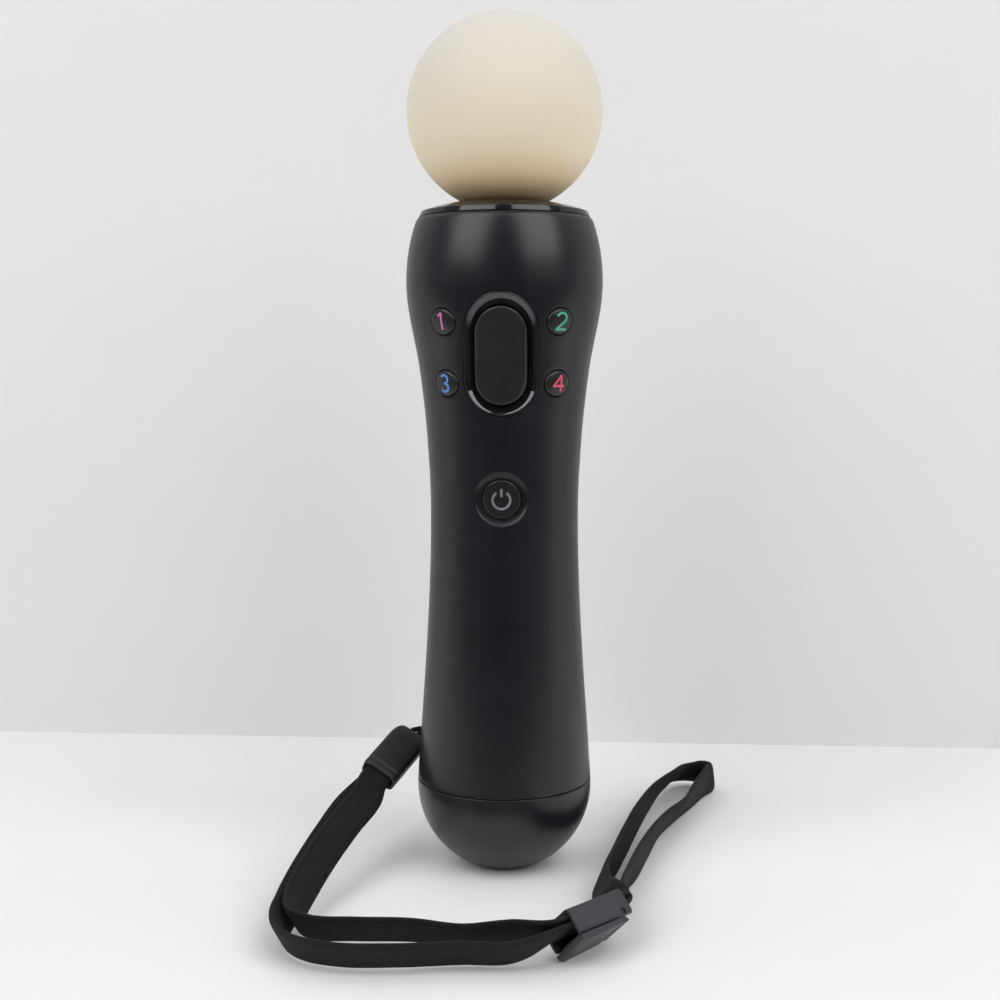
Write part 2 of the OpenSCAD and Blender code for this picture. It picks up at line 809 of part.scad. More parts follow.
// Round button with a flange behind the wall and a stem to the keypad
module round_button(angle, z, d, flange, top) {
    back = body_r(z - patch / 2) - wall - flange_gap - flange_t;
    intersection() {
        outward(angle, z)
            translate([0, 0, back])
                cylinder(d = d, h = reach);
        body_patch(top, z, patch);
    }
    intersection() {
        outward(angle, z)
            translate([0, 0, back])
                cylinder(d = d + 2 * flange, h = reach);
        body_patch(-wall - flange_gap, z, patch);
    }
    outward(angle, z)
        translate([0, 0, stem_end])
            cylinder(d = stem_d, h = back + fit - stem_end);
}

module button_1() {
    color("#1c1c1f") round_button(-upper_angle, row_up, small_d, small_flange, proud);
}

module button_2() {
    color("#1c1c1f") round_button(upper_angle, row_up, small_d, small_flange, proud);
}

module button_3() {
    color("#1c1c1f") round_button(-lower_angle, row_down, small_d, small_flange, proud);
}

module button_4() {
    color("#1c1c1f") round_button(lower_angle, row_down, small_d, small_flange, proud);
}

module home_button() {
    color("#1c1c1f") round_button(0, home_z, home_d, small_flange, proud - home_dish_t);
}

module side_button(s) {
    intersection() {
        side_cut(s, 0);
        body_patch(side_proud, side_z, patch);
        translate([s > 0 ? side_back : -reach, -reach, 0])
            cube([reach - side_back, 2 * reach, 3 * reach]);
    }
    intersection() {
        side_cut(s, side_flange);
        body_patch(-wall - flange_gap, side_z, patch);
        translate([s > 0 ? side_back : -reach, -reach, 0])
            cube([reach - side_back, 2 * reach, 3 * reach]);
    }
    translate([s > 0 ? side_end : -side_back - fit, -side_w / 2, side_z - side_w / 2])
        cube([side_back + fit - side_end, side_w, side_w]);
}

module start_button() {
    color("#1c1c1f") side_button(1);
}

module select_button() {
    color("#1c1c1f") side_button(-1);
}

// Hollow finger trigger: a slice of the head's outline that swells towards its rounded tip
module trigger_outline(grow) {
    z0 = trigger_tip_z;
    z1 = trigger_top_z + cut;
    rotate_extrude()
        polygon(concat([[0, z0 - cut], [trigger_r(z0) + grow, z0 - cut]],
            [for (i = [0 : trigger_steps]) let(z = z0 + (z1 - z0) * i / trigger_steps) [trigger_r(z) + grow, z]],
            [[0, z1]]));
}

module trigger() {
    half = trigger_w / 2;
    hollow_top = hinge_z - hub_r - trigger_in;
    color("#17171a") difference() {
        union() {
            difference() {
                intersection() {
                    trigger_outline(0);
                    trigger_face(0, 0, trigger_inner_y);
                }
                intersection() {
                    trigger_outline(-trigger_wall);
                    trigger_face(-trigger_wall, -trigger_wall, 0);
                    translate([-reach, 0, 0])
                        cube([2 * reach, reach, hollow_top]);
                }
            }
            translate([-half - trigger_gap, hinge_y, hinge_z])
                rotate([0, 90, 0])
                    cylinder(r = hub_r, h = trigger_w + 2 * trigger_gap);
            translate([0, trigger_inner_y, spring_z])
                rotate([-90, 0, 0])
                    cylinder(r = tower_r, h = trigger_r(spring_z) - trigger_inner_y - trigger_wall / 2);
        }
        translate([-reach, hinge_y, hinge_z])
            rotate([0, 90, 0])
                cylinder(d = pin_d + 2 * run_fit, h = 2 * reach);
    }
}

module trigger_pin() {
    color("#b9bcc2") translate([-pin_half, hinge_y, hinge_z])
        rotate([0, 90, 0])
            cylinder(d = pin_d, h = 2 * pin_half);
}

// Compression spring between the frame's tower and the trigger
module trigger_spring() {
    y0 = -frame_back + spring_tower + spring_wire / 2 + fit;
    y1 = trigger_inner_y - spring_wire / 2 - fit;
    rings_per_turn = 10;
    n = spring_turns * rings_per_turn;
    section = round_ring(spring_wire, 6);
    color("#c3c6cb") skin([for (i = [0 : n])
        let(a = 360 * i / rings_per_turn,
            out = [cos(a), 0, sin(a)],
            c = [0, y0 + (y1 - y0) * i / n, spring_z] + spring_r * out)
        [for (s = section) c + out * s.x + [0, -s.y, 0]]]);
}

// Rubber keypad, bent round the same axis as the handle
module keypad_sector(r0, r1) {
    intersection() {
        union() {
            translate([-keypad_half - keypad_r, -2 * keypad_r, keypad_shoulder])
                cube([2 * (keypad_half + keypad_r), 2 * keypad_r - board_y, keypad_z1 - keypad_shoulder]);
            translate([-tongue_half, -2 * keypad_r, keypad_z0])
                cube([2 * tongue_half, 2 * keypad_r - board_y, keypad_z1 - keypad_z0]);
        }
        translate([0, 0, keypad_z0])
            difference() {
                cylinder(r = r1, h = keypad_z1 - keypad_z0);
                if (r0 > 0)
                    translate([0, 0, -cut])
                        cylinder(r = r0, h = keypad_z1 - keypad_z0 + 2 * cut);
            }
    }
}

module keypad() {
    color("#55565c") keypad_sector(backer_r, keypad_r);
}

module keypad_backer() {
    color("#3a3b40") keypad_sector(0, backer_r);
}

module boss_notches() {
    for (p = screws)
        along_y(p, -reach, reach, 2 * boss_r + 4 * fit);
}

module main_board() {
    color("#1b5e38") difference() {
        translate([-board_half, -board_y, board_z0])
            cube([2 * board_half, board_t, board_z1 - board_z0]);
        boss_notches();
    }
}

chips = [[-8, 4, 5], [7.6, 4.4, 5.6], [6.6, 10.2, 3.4], [-6.8, 10, 3.6]];
chip_t = 1.1;

module board_chips() {
    color("#101012") for (c = chips)
        translate([c[0] - c[2] / 2, -board_y - chip_t, board_z0 + c[1] - c[2] / 2])
            cube([c[2], chip_t, c[2]]);
}

shield = [8.4, 2, 9];
shield_clear = 2.3;
shield_z = keypad_z0 - shield_clear - shield.z;

module shield_can() {
    color("#a9adb3") difference() {
        translate([-shield.x / 2, -board_y - shield.y, shield_z])
            cube([shield.x, shield.y, shield.z]);
        translate([-shield.x / 2 + ribbon_t, -board_y - shield.y + ribbon_t, shield_z + ribbon_t])
            cube([shield.x - 2 * ribbon_t, shield.y, shield.z - 2 * ribbon_t]);
    }
}

// Side-acting switches on the rear of the frame
module side_switches() {
    color("#d0d2d6") for (s = [-1, 1]) {
        translate([s > 0 ? switch_tip - plunger_l - switch_l : -switch_tip + plunger_l,
            -frame_back, side_z - switch_h / 2])
            cube([switch_l, switch_d, switch_h]);
        translate([s * (switch_tip - plunger_l - cut), -frame_back + switch_d - plunger_d, side_z])
            rotate([0, s * 90, 0])
                cylinder(d = plunger_d, h = plunger_l + cut);
    }
}

// Plate behind the main board, with battery shelves, spring tower and the ring under the light board
module inner_frame() {
    color("#44454b") difference() {
        union() {
            translate([-board_half, -board_y + board_t, frame_z0])
                cube([2 * board_half, frame_t, led_z - frame_z0]);
            for (z = [frame_z0, battery_z + battery_h])
                translate([-battery_half * 0.6, -frame_back - frame_t / 2, z])
                    cube([battery_half * 1.2, frame_t / 2 + battery_back + frame_back, shelf_t]);
            translate([0, -frame_back - frame_t / 2, spring_z])
                rotate([-90, 0, 0])
                    cylinder(r = tower_r, h = spring_tower + frame_t / 2);
            translate([0, -frame_back + spring_tower - cut, spring_z])
                rotate([-90, 0, 0])
                    cylinder(d = spring_peg_d, h = 2 * cut + shelf_t);
            translate([0, 0, led_z - shelf_t])
                difference() {
                    cylinder(r = orb_flange_r + 2, h = shelf_t);
                    translate([0, 0, -cut])
                        cylinder(r = orb_flange_r - 1, h = shelf_t + 2 * cut);
                }
        }
        boss_notches();
    }
}

module battery() {
    depth = battery_back - battery_front;
    color("#3b6ea5") translate([0, battery_front + depth / 2, battery_z])
        linear_extrude(battery_h - fit)
            rounded([2 * battery_half, depth], 2);
}

module motor() {
    color("#9ea2a8") {
        translate([0, motor_y, motor_z])
            cylinder(d = motor_d, h = motor_h);
        translate([0, motor_y, motor_z + motor_h - cut])
            cylinder(d = shaft_d, h = shaft_l + cut);
    }
}

module motor_boot() {
    r = motor_d / 2 + boot_wall;
    color("#2c2d31") translate([0, 0, motor_z + fit])
        difference() {
            union() {
                translate([0, motor_y, 0])
                    cylinder(r = r, h = boot_h);
                translate([-r, -frame_back, 0])
                    cube([2 * r, motor_y + frame_back, boot_h]);
            }
            translate([0, motor_y, -cut])
                cylinder(d = motor_d + 2 * boot_fit, h = boot_h + 2 * cut);
        }
}

module motor_weight() {
    color("#6d7076") translate([0, motor_y, motor_z + motor_h + 1])
        difference() {
            union() {
                intersection() {
                    cylinder(r = weight_r, h = weight_h);
                    translate([-weight_r, 0, 0])
                        cube([2 * weight_r, weight_r, weight_h]);
                }
                cylinder(d = shaft_d + 2 * boot_wall, h = weight_h);
            }
            translate([0, 0, -cut])
                cylinder(d = shaft_d + 2 * run_fit, h = weight_h + 2 * cut);
        }
}

module io_board() {
    color("#1b5e38") difference() {
        translate([0, 0, io_z])
            cylinder(r = io_r, h = board_t);
        for (a = [90, 210, 330])
            rotate([0, 0, a])
                translate([post_at, 0, io_z - cut])
                    cylinder(d = post_screw_d + 2 * fit, h = board_t + 2 * cut);
    }
}

module io_screws() {
    z = io_z + board_t;
    color("#c9ccd1") for (a = [90, 210, 330])
        rotate([0, 0, a])
            translate([post_at, 0, 0]) {
                translate([0, 0, z])
                    cylinder(d = post_screw_head, h = post_screw_t);
                translate([0, 0, z - post_screw_l])
                    cylinder(d = post_screw_d, h = post_screw_l + post_screw_t / 2);
            }
}

// Open-mouthed socket with a contact tongue, hung under the socket board
module socket(at, size) {
    hollow = size - [2 * socket_wall, 2 * socket_wall];
    translate([at.x, at.y, socket_recess]) {
        difference() {
            linear_extrude(io_z - socket_recess)
                square(size, center = true);
            translate([0, 0, -cut])
                linear_extrude(socket_depth + cut)
                    square(hollow, center = true);
        }
        translate([0, 0, cut])
            linear_extrude(socket_depth)
                square([hollow.x - 2 * tongue_t, tongue_t], center = true);
    }
}

module usb_socket() {
    color("#b4b7bc") socket(usb_at, usb_size);
}

module extension_socket() {
    color("#8f9298") socket(ext_at, ext_size);
}

module charge_contacts() {
    color("#c9a45a") for (s = [-1, 1])
        translate([s * contact_x, 0, socket_recess / 2])
            cylinder(d = contact_d, h = io_z - socket_recess / 2);
}

// Flat cable from the socket board up to the main board
module io_ribbon() {
    y = board_y - board_t + ribbon_t + fit;
    bend = board_y + ribbon_t;
    color("#caa56a") translate([-ribbon_w / 2, 0, 0])
        rotate([90, 0, 90])
            linear_extrude(ribbon_w)
                polygon([[-y, io_z + board_t], [-y + ribbon_t, io_z + board_t], [-y + ribbon_t, board_z0 - 1.2],
                    [-bend + ribbon_t, board_z0 - ribbon_t], [-bend + ribbon_t, board_z0 + ribbon_fold],
                    [-bend, board_z0 + ribbon_fold], [-bend, board_z0 - ribbon_t], [-y, board_z0 - 1.2]]);
}

module case_screws() {
    color("#8d9096") for (p = screws) {
        along_y(p, screw_seat(p), screw_seat(p) + screw_head_t, screw_head_d);
        along_y(p, -screw_grip, screw_seat(p) + screw_head_t / 2, screw_d);
    }
}

module strap_pin() {
    color("#b9bcc2") anchor_bar(anchor_pin_d, anchor_block_h - anchor_wall);
}

// The lanyard leaves the sleeve, loops round the anchor's bar and returns
function lanyard_route() =
    let(top = sleeve_at - unit(sleeve_dir) * (sleeve_l - sleeve_inset + sleeve_slack),
        bar = anchor_dir * anchor_pin_r + [0, 0, anchor_z],
        side_dir = cross(anchor_dir, [0, 0, 1]),
        r = anchor_pin_d / 2 + lanyard_d / 2 + fit,
        w = width_dir(unit(sleeve_dir), sleeve_lean),
        up = -unit(sleeve_dir) * (sleeve_inset + 0.6),
        turn = [for (a = [-90 : 30 : 90]) bar + r * (side_dir * sin(a) - anchor_dir * cos(a))],
        gap = lanyard_d * 0.62)
    [for (p = concat([top - w * gap, top - w * gap + up],
            [bar - r * side_dir + anchor_dir * (anchor_depth - 1)], turn,
            [bar + r * side_dir + anchor_dir * (anchor_depth - 1)],
            [top + w * gap + up, top + w * gap])) concat(p, [0])];

module strap_lanyard() {
    color("#1a1a1d") sweep(refine(lanyard_route(), 2 * lanyard_d), round_ring(lanyard_d, cord_sides));
}

module strap_sleeve() {
    color("#24242a") along(sleeve_at, -sleeve_dir, -sleeve_lean) {
        difference() {
            translate([sleeve_l / 2, 0, 0])
                intersection() {
                    rotate([0, 90, 0])
                        linear_extrude(sleeve_l, center = true)
                            rounded([sleeve_w, sleeve_t], sleeve_round);
                    rotate([90, 0, 0])
                        linear_extrude(2 * sleeve_t, center = true) {
                            translate([-sleeve_l / 4, 0])
                                square([sleeve_l / 2, sleeve_w], center = true);
                            translate([sleeve_l / 4, 0])
                                rounded([sleeve_l / 2, sleeve_w], sleeve_w / 4);
                            square([sleeve_l / 3, sleeve_w], center = true);
                        }
                }
            translate([-cut, -band_t - 2 * sleeve_slack, -band_w / 2 - sleeve_slack])
                cube([sleeve_pocket + cut, 2 * (band_t + 2 * sleeve_slack), band_w + 2 * sleeve_slack]);
            translate([sleeve_l - sleeve_inset, -lanyard_d / 2 - sleeve_slack, -lanyard_d - 2 * sleeve_slack])
                cube([sleeve_inset + cut, lanyard_d + 2 * sleeve_slack, 2 * lanyard_d + 4 * sleeve_slack]);
        }
    }
}

// A point of the band inside the sleeve or the lock, on its own layer
function in_sleeve(depth, layer) =
    let(t = unit(sleeve_dir), w = width_dir(t, sleeve_lean), n = cross(t, w))
    sleeve_at - t * depth + n * layer;
function in_lock(x, layer) =
    let(u = [cos(lock_heading), sin(lock_heading), 0],
        v = [-sin(lock_heading) * cos(lock_roll), cos(lock_heading) * cos(lock_roll), sin(lock_roll)])
    lock_at + u * x + v * layer;

layer_half = (band_t + 0.5) / 2;
sleeve_out = [for (d = [sleeve_pocket - sleeve_slack, 0, -sleeve_lead])
    concat(in_sleeve(d, layer_half), [sleeve_lean])];
sleeve_in = [for (d = [-sleeve_lead, 0, sleeve_pocket - sleeve_slack])
    concat(in_sleeve(d, -layer_half), [-sleeve_lean])];
lock_reach = [lock_l / 2 + mouth, lock_l / 2 + mouth + stub];
lock_out = [for (x = [-lock_reach[1], -lock_reach[0], lock_reach[0], lock_reach[1]])
    concat(in_lock(x, layer_front), [lock_roll])];
lock_in = [for (x = [lock_reach[1], lock_reach[0], -lock_reach[0], -lock_reach[1]])
    concat(in_lock(x, layer_rear), [-lock_roll])];
band_route = concat(sleeve_out, band_stretch, band_front, lock_out, band_loop, lock_in, band_rear, band_return,
    sleeve_in);

// The woven band: one loop from the sleeve through the lock, round and back
module strap_band() {
    color("#141416") sweep(refine(band_route, band_ring), flat_ring(band_w, band_t));
}

module lock_place() {
    translate(lock_at)
        rotate([lock_roll, 0, lock_heading])
            children();
}

// Channel of two cheeks and a back wall, open towards the lever
module lock_body() {
    inner = lock_h - 2 * cheek_t;
    depth = lock_front + lock_back;
    color("#4b4a54") lock_place()
        difference() {
            rotate([90, 0, 90])
                linear_extrude(lock_l, center = true)
                    translate([(lock_back - lock_front) / 2, 0])
                        rounded([depth, lock_h], lock_edge_r);
            translate([-lock_l, -2 * lock_front, -inner / 2])
                cube([2 * lock_l, 2 * lock_front + lock_back - lock_wall, inner]);
            translate([lock_pin_x, lock_pin_y, -lock_h])
                cylinder(d = lock_pin_d + run_fit, h = 2 * lock_h);
        }
}

// Cam lever: a full-width cap with a tongue between the cheeks, hinged at one end
module lock_lever() {
    inner = lock_h / 2 - cheek_t - lever_gap;
    cap_end = lock_pin_x - 1.4;
    cap_y = -lock_front - lever_gap;
    tongue = [[-lock_l / 2 + 1, cap_y - lever_tail_t / 2], [-lock_l / 2 + 1, cap_y + 0.6],
        [cap_end - 3, lock_pin_y + lever_hub_r - fit], [lock_pin_x, lock_pin_y + lever_hub_r],
        [lock_pin_x, lock_pin_y - lever_hub_r], [cap_end, cap_y - lever_tail_t / 2]];
    cap = [[-lock_l / 2, cap_y], [cap_end, cap_y], [cap_end, cap_y - lever_tail_t],
        [-lock_l / 2 + 1, cap_y - lever_cap_t], [-lock_l / 2, cap_y - lever_cap_t + 0.5]];
    color("#3d3c45") lock_place()
        difference() {
            union() {
                translate([0, 0, -lock_h / 2])
                    linear_extrude(lock_h)
                        polygon(cap);
                translate([0, 0, -inner])
                    linear_extrude(2 * inner)
                        polygon(tongue);
                translate([lock_pin_x, lock_pin_y, -inner])
                    cylinder(r = lever_hub_r, h = 2 * inner);
                translate([lock_pin_x, lock_pin_y, -inner])
                    rotate([0, 0, lever_nose[0]])
                        rotate_extrude(angle = lever_nose[1] - lever_nose[0])
                            square([lock_pin_y - cap_y + lever_tail_t, 2 * inner]);
            }
            translate([lock_pin_x, lock_pin_y, -lock_h])
                cylinder(d = lock_pin_d + 2 * run_fit, h = 2 * lock_h);
        }
}

module lock_pin() {
    color("#77787e") lock_place()
        translate([lock_pin_x, lock_pin_y, -lock_h / 2 + lock_pin_recess])
            cylinder(d = lock_pin_d, h = lock_h - 2 * lock_pin_recess);
}

front_shell();
rear_shell();
end_cap();
light_orb();
orb_collar();
light_guide();
led_board();
rgb_led();
oval_bezel();
oval_button();
button_1();
button_2();
button_3();
button_4();
home_button();
start_button();
select_button();
trigger();
trigger_pin();
trigger_spring();
keypad();
keypad_backer();
main_board();
board_chips();
shield_can();
side_switches();
inner_frame();
battery();
motor();
motor_boot();
motor_weight();
io_board();
io_screws();
usb_socket();
extension_socket();
charge_contacts();
io_ribbon();
case_screws();
strap_pin();
strap_lanyard();
strap_sleeve();
strap_band();
lock_body();
lock_lever();
lock_pin();
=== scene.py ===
import json
import math

import bpy
import numpy as np
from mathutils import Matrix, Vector
from mathutils.geometry import delaunay_2d_cdt


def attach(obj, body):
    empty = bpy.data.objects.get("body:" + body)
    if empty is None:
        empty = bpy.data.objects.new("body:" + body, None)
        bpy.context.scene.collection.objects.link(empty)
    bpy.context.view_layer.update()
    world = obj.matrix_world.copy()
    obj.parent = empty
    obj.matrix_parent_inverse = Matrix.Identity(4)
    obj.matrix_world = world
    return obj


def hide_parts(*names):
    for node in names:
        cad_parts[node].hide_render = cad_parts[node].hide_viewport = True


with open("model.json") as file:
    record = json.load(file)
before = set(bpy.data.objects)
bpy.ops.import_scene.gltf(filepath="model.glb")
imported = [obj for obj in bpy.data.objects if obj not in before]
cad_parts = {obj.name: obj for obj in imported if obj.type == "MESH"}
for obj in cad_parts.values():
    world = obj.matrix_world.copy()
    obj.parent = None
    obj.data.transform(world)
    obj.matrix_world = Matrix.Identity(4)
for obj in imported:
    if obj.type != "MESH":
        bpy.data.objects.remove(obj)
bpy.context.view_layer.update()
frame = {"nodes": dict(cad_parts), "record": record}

MM = 0.001
QUARTER = math.pi / 2
scene = bpy.context.scene

# Camera, fitted to the photograph.
CAM_DIST, CAM_TURN, CAM_HEIGHT = 0.3352, math.radians(2.3), 0.1227
CAM_PITCH, CAM_YAW = 5.93, 2.48
cam_data = bpy.data.cameras.new("camera")
cam_data.sensor_width = 36.0
cam_data.lens = 50.94
cam_data.clip_start = 0.005
cam = bpy.data.objects.new("camera", cam_data)
scene.collection.objects.link(cam)
cam.location = (CAM_DIST * math.sin(CAM_TURN), -CAM_DIST * math.cos(CAM_TURN), CAM_HEIGHT)
cam.rotation_euler = (math.radians(90 - CAM_PITCH), 0.0, math.radians(CAM_YAW))
scene.camera = cam


# Materials
def split(tree, vector):
    """The X, Y and Z outputs of a vector."""
    n = tree.nodes.new("ShaderNodeSeparateXYZ")
    tree.links.new(vector, n.inputs["Vector"])
    return n.outputs


def smooth(tree, value, x0, x1, y0=0.0, y1=1.0):
    """A smooth step of a value from y0 at x0 to y1 at x1."""
    n = tree.nodes.new("ShaderNodeMapRange")
    n.interpolation_type = "SMOOTHSTEP"
    for key, v in (("From Min", x0), ("From Max", x1), ("To Min", y0), ("To Max", y1)):
        n.inputs[key].default_value = v
    tree.links.new(value, n.inputs["Value"])
    return n.outputs["Result"]


def ray_is(tree, kind):
    return tree.nodes.new("ShaderNodeLightPath").outputs["Is " + kind + " Ray"]


def times(color, low, high):
    """A colour made darker and paler, kept within white."""
    return [c * low for c in color], [min(1, c * high) for c in color]


class Mat:
    """A principled material whose colour, roughness and surface vary with procedural noise."""

    def __init__(self, name):
        self.mat = bpy.data.materials.new(name)
        self.mat.use_nodes = True
        self.tree = self.mat.node_tree
        self.nodes, self.links = self.tree.nodes, self.tree.links
        self.bsdf = next(n for n in self.nodes if n.type == "BSDF_PRINCIPLED")
        self.place = self.nodes.new("ShaderNodeTexCoord").outputs["Object"]

    def noise(self, scale, detail=3.0, stretch=None):
        n = self.nodes.new("ShaderNodeTexNoise")
        n.inputs["Scale"].default_value = scale
        n.inputs["Detail"].default_value = detail
        n.inputs["Roughness"].default_value = 0.55
        src = self.place
        if stretch:
            m = self.nodes.new("ShaderNodeMapping")
            m.inputs["Scale"].default_value = stretch
            self.links.new(src, m.inputs["Vector"])
            src = m.outputs["Vector"]
        self.links.new(src, n.inputs["Vector"])
        return n.outputs["Fac"]

    def ramp(self, fac, stops):
        r = self.nodes.new("ShaderNodeValToRGB")
        ends = r.color_ramp.elements
        ends[0].position, ends[1].position = stops[0][0], stops[-1][0]
        for at, _ in stops[1:-1]:
            ends.new(at)
        for end, (_, color) in zip(ends, stops):
            end.color = (*color, 1.0)
        self.links.new(fac, r.inputs["Fac"])
        return r.outputs["Color"]

    def mottled(self, fac, colors):
        """Two colours, told apart by the middle of a noise."""
        return self.ramp(fac, list(zip((0.3, 0.7), colors)))

    def span(self, fac, low, high):
        m = self.nodes.new("ShaderNodeMapRange")
        for key, v in (("From Min", 0.25), ("From Max", 0.75), ("To Min", low), ("To Max", high)):
            m.inputs[key].default_value = v
        self.links.new(fac, m.inputs["Value"])
        return m.outputs["Result"]

    def math(self, op, a, b=None):
        m = self.nodes.new("ShaderNodeMath")
        m.operation = op
        for i, v in enumerate((a, b)):
            if isinstance(v, (int, float)):
                m.inputs[i].default_value = v
            elif v is not None:
                self.links.new(v, m.inputs[i])
        return m.outputs["Value"]

    def color(self, out):
        self.links.new(out, self.bsdf.inputs["Base Color"])

    def rough(self, out):
        self.links.new(out, self.bsdf.inputs["Roughness"])

    def bump(self, height, strength, distance):
        b = self.nodes.new("ShaderNodeBump")
        b.inputs["Strength"].default_value = strength
        b.inputs["Distance"].default_value = distance
        self.links.new(height, b.inputs["Height"])
        self.links.new(b.outputs["Normal"], self.bsdf.inputs["Normal"])

    def set(self, **values):
        for k, v in values.items():
            self.bsdf.inputs[k.replace("_", " ")].default_value = v

    def cover(self, fac, shader):
        """Mixes another shader over the surface."""
        mix = self.nodes.new("ShaderNodeMixShader")
        self.links.new(fac, mix.inputs["Fac"])
        self.links.new(self.bsdf.outputs["BSDF"], mix.inputs[1])
        self.links.new(shader, mix.inputs[2])
        out = next(n for n in self.nodes if n.type == "OUTPUT_MATERIAL")
        self.links.new(mix.outputs["Shader"], out.inputs["Surface"])


def plastic(name, base, rough, vary=0.18, grain=2600.0, bump=0.12, spec=0.5, coat=0.0):
    m = Mat(name)
    m.color(m.mottled(m.noise(45.0, 4.0), ([c * (1 - vary) for c in base],
                                           [c * (1 + vary) for c in base])))
    m.rough(m.span(m.noise(180.0, 4.0), max(0.02, rough * 0.9), min(1.0, rough * 1.1)))
    m.bump(m.noise(grain, 2.0), bump, 0.00008)
    m.set(IOR=1.5, Specular_IOR_Level=spec)
    if coat:
        m.set(Coat_Weight=coat, Coat_Roughness=0.03)
    return m.mat


def metal(name, base, rough, brushed=(900.0, 60.0, 60.0)):
    m = Mat(name)
    m.color(m.mottled(m.noise(60.0, 4.0), times(base, 0.85, 1.1)))
    m.rough(m.span(m.noise(1.0, 4.0, brushed), rough * 0.75, min(1, rough * 1.3)))
    m.bump(m.noise(1.0, 3.0, brushed), 0.08, 0.00005)
    m.set(Metallic=1.0)
    return m.mat


# The handle's outline, as in the construction: rings of height, radius and slope, in millimetres
RINGS = [(20.9, 20.9, -0.068), (85.0, 17.5, 0.0), (118.8, 19.95, 0.135), (139.0, 23.0, 0.0),
         (152.0, 21.05, -0.32)]
SEAM_Z, SHOULDER_Z, RIM_Z, RIM_R, RIM_OPEN = 20.9, 152.0, 154.0, 20.2, 18.9
RIM_SLOPE, RIM_ROUND = -0.8, 0.15
WALL = 1.8
GIRTH_R = 20.0


def hermite(t, p0, p1, m0, m1):
    return ((1 - 3 * t**2 + 2 * t**3) * p0 + (3 * t**2 - 2 * t**3) * p1
            + (t - 2 * t**2 + t**3) * m0 + (t**3 - t**2) * m1)


def body_r(z):
    z = np.asarray(z, float)
    out = np.zeros_like(z)
    for k in range(len(RINGS) - 1):
        (z0, r0, s0), (z1, r1, s1) = RINGS[k], RINGS[k + 1]
        here = (z >= z0 if k else z > -1e9) & (z < z1 if k < len(RINGS) - 2 else z < 1e9)
        span = z1 - z0
        out = np.where(here, hermite((z - z0) / span, r0, r1, s0 * span, s1 * span), out)
    return out


def outline_table():
    """The outline from the seam over the rim: distance along it, radius and height, normal."""
    z = np.linspace(SEAM_Z, SHOULDER_Z, 900)
    r = body_r(z)
    rise = RIM_Z - RIM_ROUND - SHOULDER_Z
    t = np.linspace(0, 1, 30)[1:]
    arc_r = hermite(t, r[-1], RIM_R, RINGS[-1][2] * rise, RIM_SLOPE * rise)
    turn = np.linspace(math.atan(-RIM_SLOPE), QUARTER, 10)[1:]
    edge = np.stack([RIM_R - RIM_ROUND * (1 - np.cos(turn)),
                     RIM_Z - RIM_ROUND * (1 - np.sin(turn))], 1)
    flat = np.stack([np.linspace(edge[-1, 0], RIM_OPEN, 12)[1:], np.full(11, RIM_Z)], 1)
    rz = np.vstack([np.stack([r, z], 1), np.stack([arc_r, SHOULDER_Z + rise * t], 1), edge, flat])
    v = z.tolist()
    for i in range(len(z), len(rz)):
        v.append(v[-1] + float(np.linalg.norm(rz[i] - rz[i - 1])))
    v = np.array(v)
    d = np.gradient(rz, v, axis=0)
    d /= np.linalg.norm(d, axis=1)[:, None]
    return v, rz, np.stack([d[:, 1], -d[:, 0]], 1)


TAB_V, TAB_P, TAB_N = outline_table()
V_TOP = TAB_V[-1]


def on_body(u, v, g):
    """A point of the handle: u along the girth from the front, v along the outline, g outward."""
    th = np.asarray(u) / GIRTH_R
    r = np.interp(v, TAB_V, TAB_P[:, 0]) + g * np.interp(v, TAB_V, TAB_N[:, 0])
    z = np.interp(v, TAB_V, TAB_P[:, 1]) + g * np.interp(v, TAB_V, TAB_N[:, 1])
    return np.stack([r * np.sin(th), -r * np.cos(th), z], -1)


def radial(phi, z0, a, b, g, d=0.0):
    """A point seen straight from outside: a to the side, b up, g out of the skin, d straight in."""
    z = z0 + np.asarray(b, float)
    r = body_r(z) + g
    y = np.sqrt(np.maximum(r * r - np.asarray(a, float) ** 2, 0.01)) - d
    s, c = math.sin(phi), math.cos(phi)
    return np.stack([y * s + a * c, -y * c + a * s, z], -1)


def to_uv(phi, z0, a, b):
    z = z0 + np.asarray(b, float)
    return np.stack([GIRTH_R * (phi + np.arcsin(np.asarray(a, float) / body_r(z))), z], -1)


# Flat outlines, counter-clockwise, each a function of how far it is grown
def around(n):
    return np.arange(n) * 2 * math.pi / n


def ellipse(rx, ry, n=64, at=(0.0, 0.0)):
    t = around(n)
    return lambda e: np.stack([at[0] + (rx + e) * np.cos(t), at[1] + (ry + e) * np.sin(t)], 1)


def circle(radius, n, at=(0.0, 0.0)):
    return ellipse(radius, radius, n, at)


def pill(width, height, n=24, straight=14):
    half, run = width / 2, (height - width) / 2

    def make(e):
        pts = []
        for start, side in ((0.0, 1), (math.pi, -1)):
            for k in range(n + 1):
                t = start + math.pi * k / n
                pts.append(((half + e) * math.cos(t), side * run + (half + e) * math.sin(t)))
            for k in range(1, straight):
                pts.append((-side * (half + e), side * (run - 2 * run * k / straight)))
        return np.array(pts)

    return make


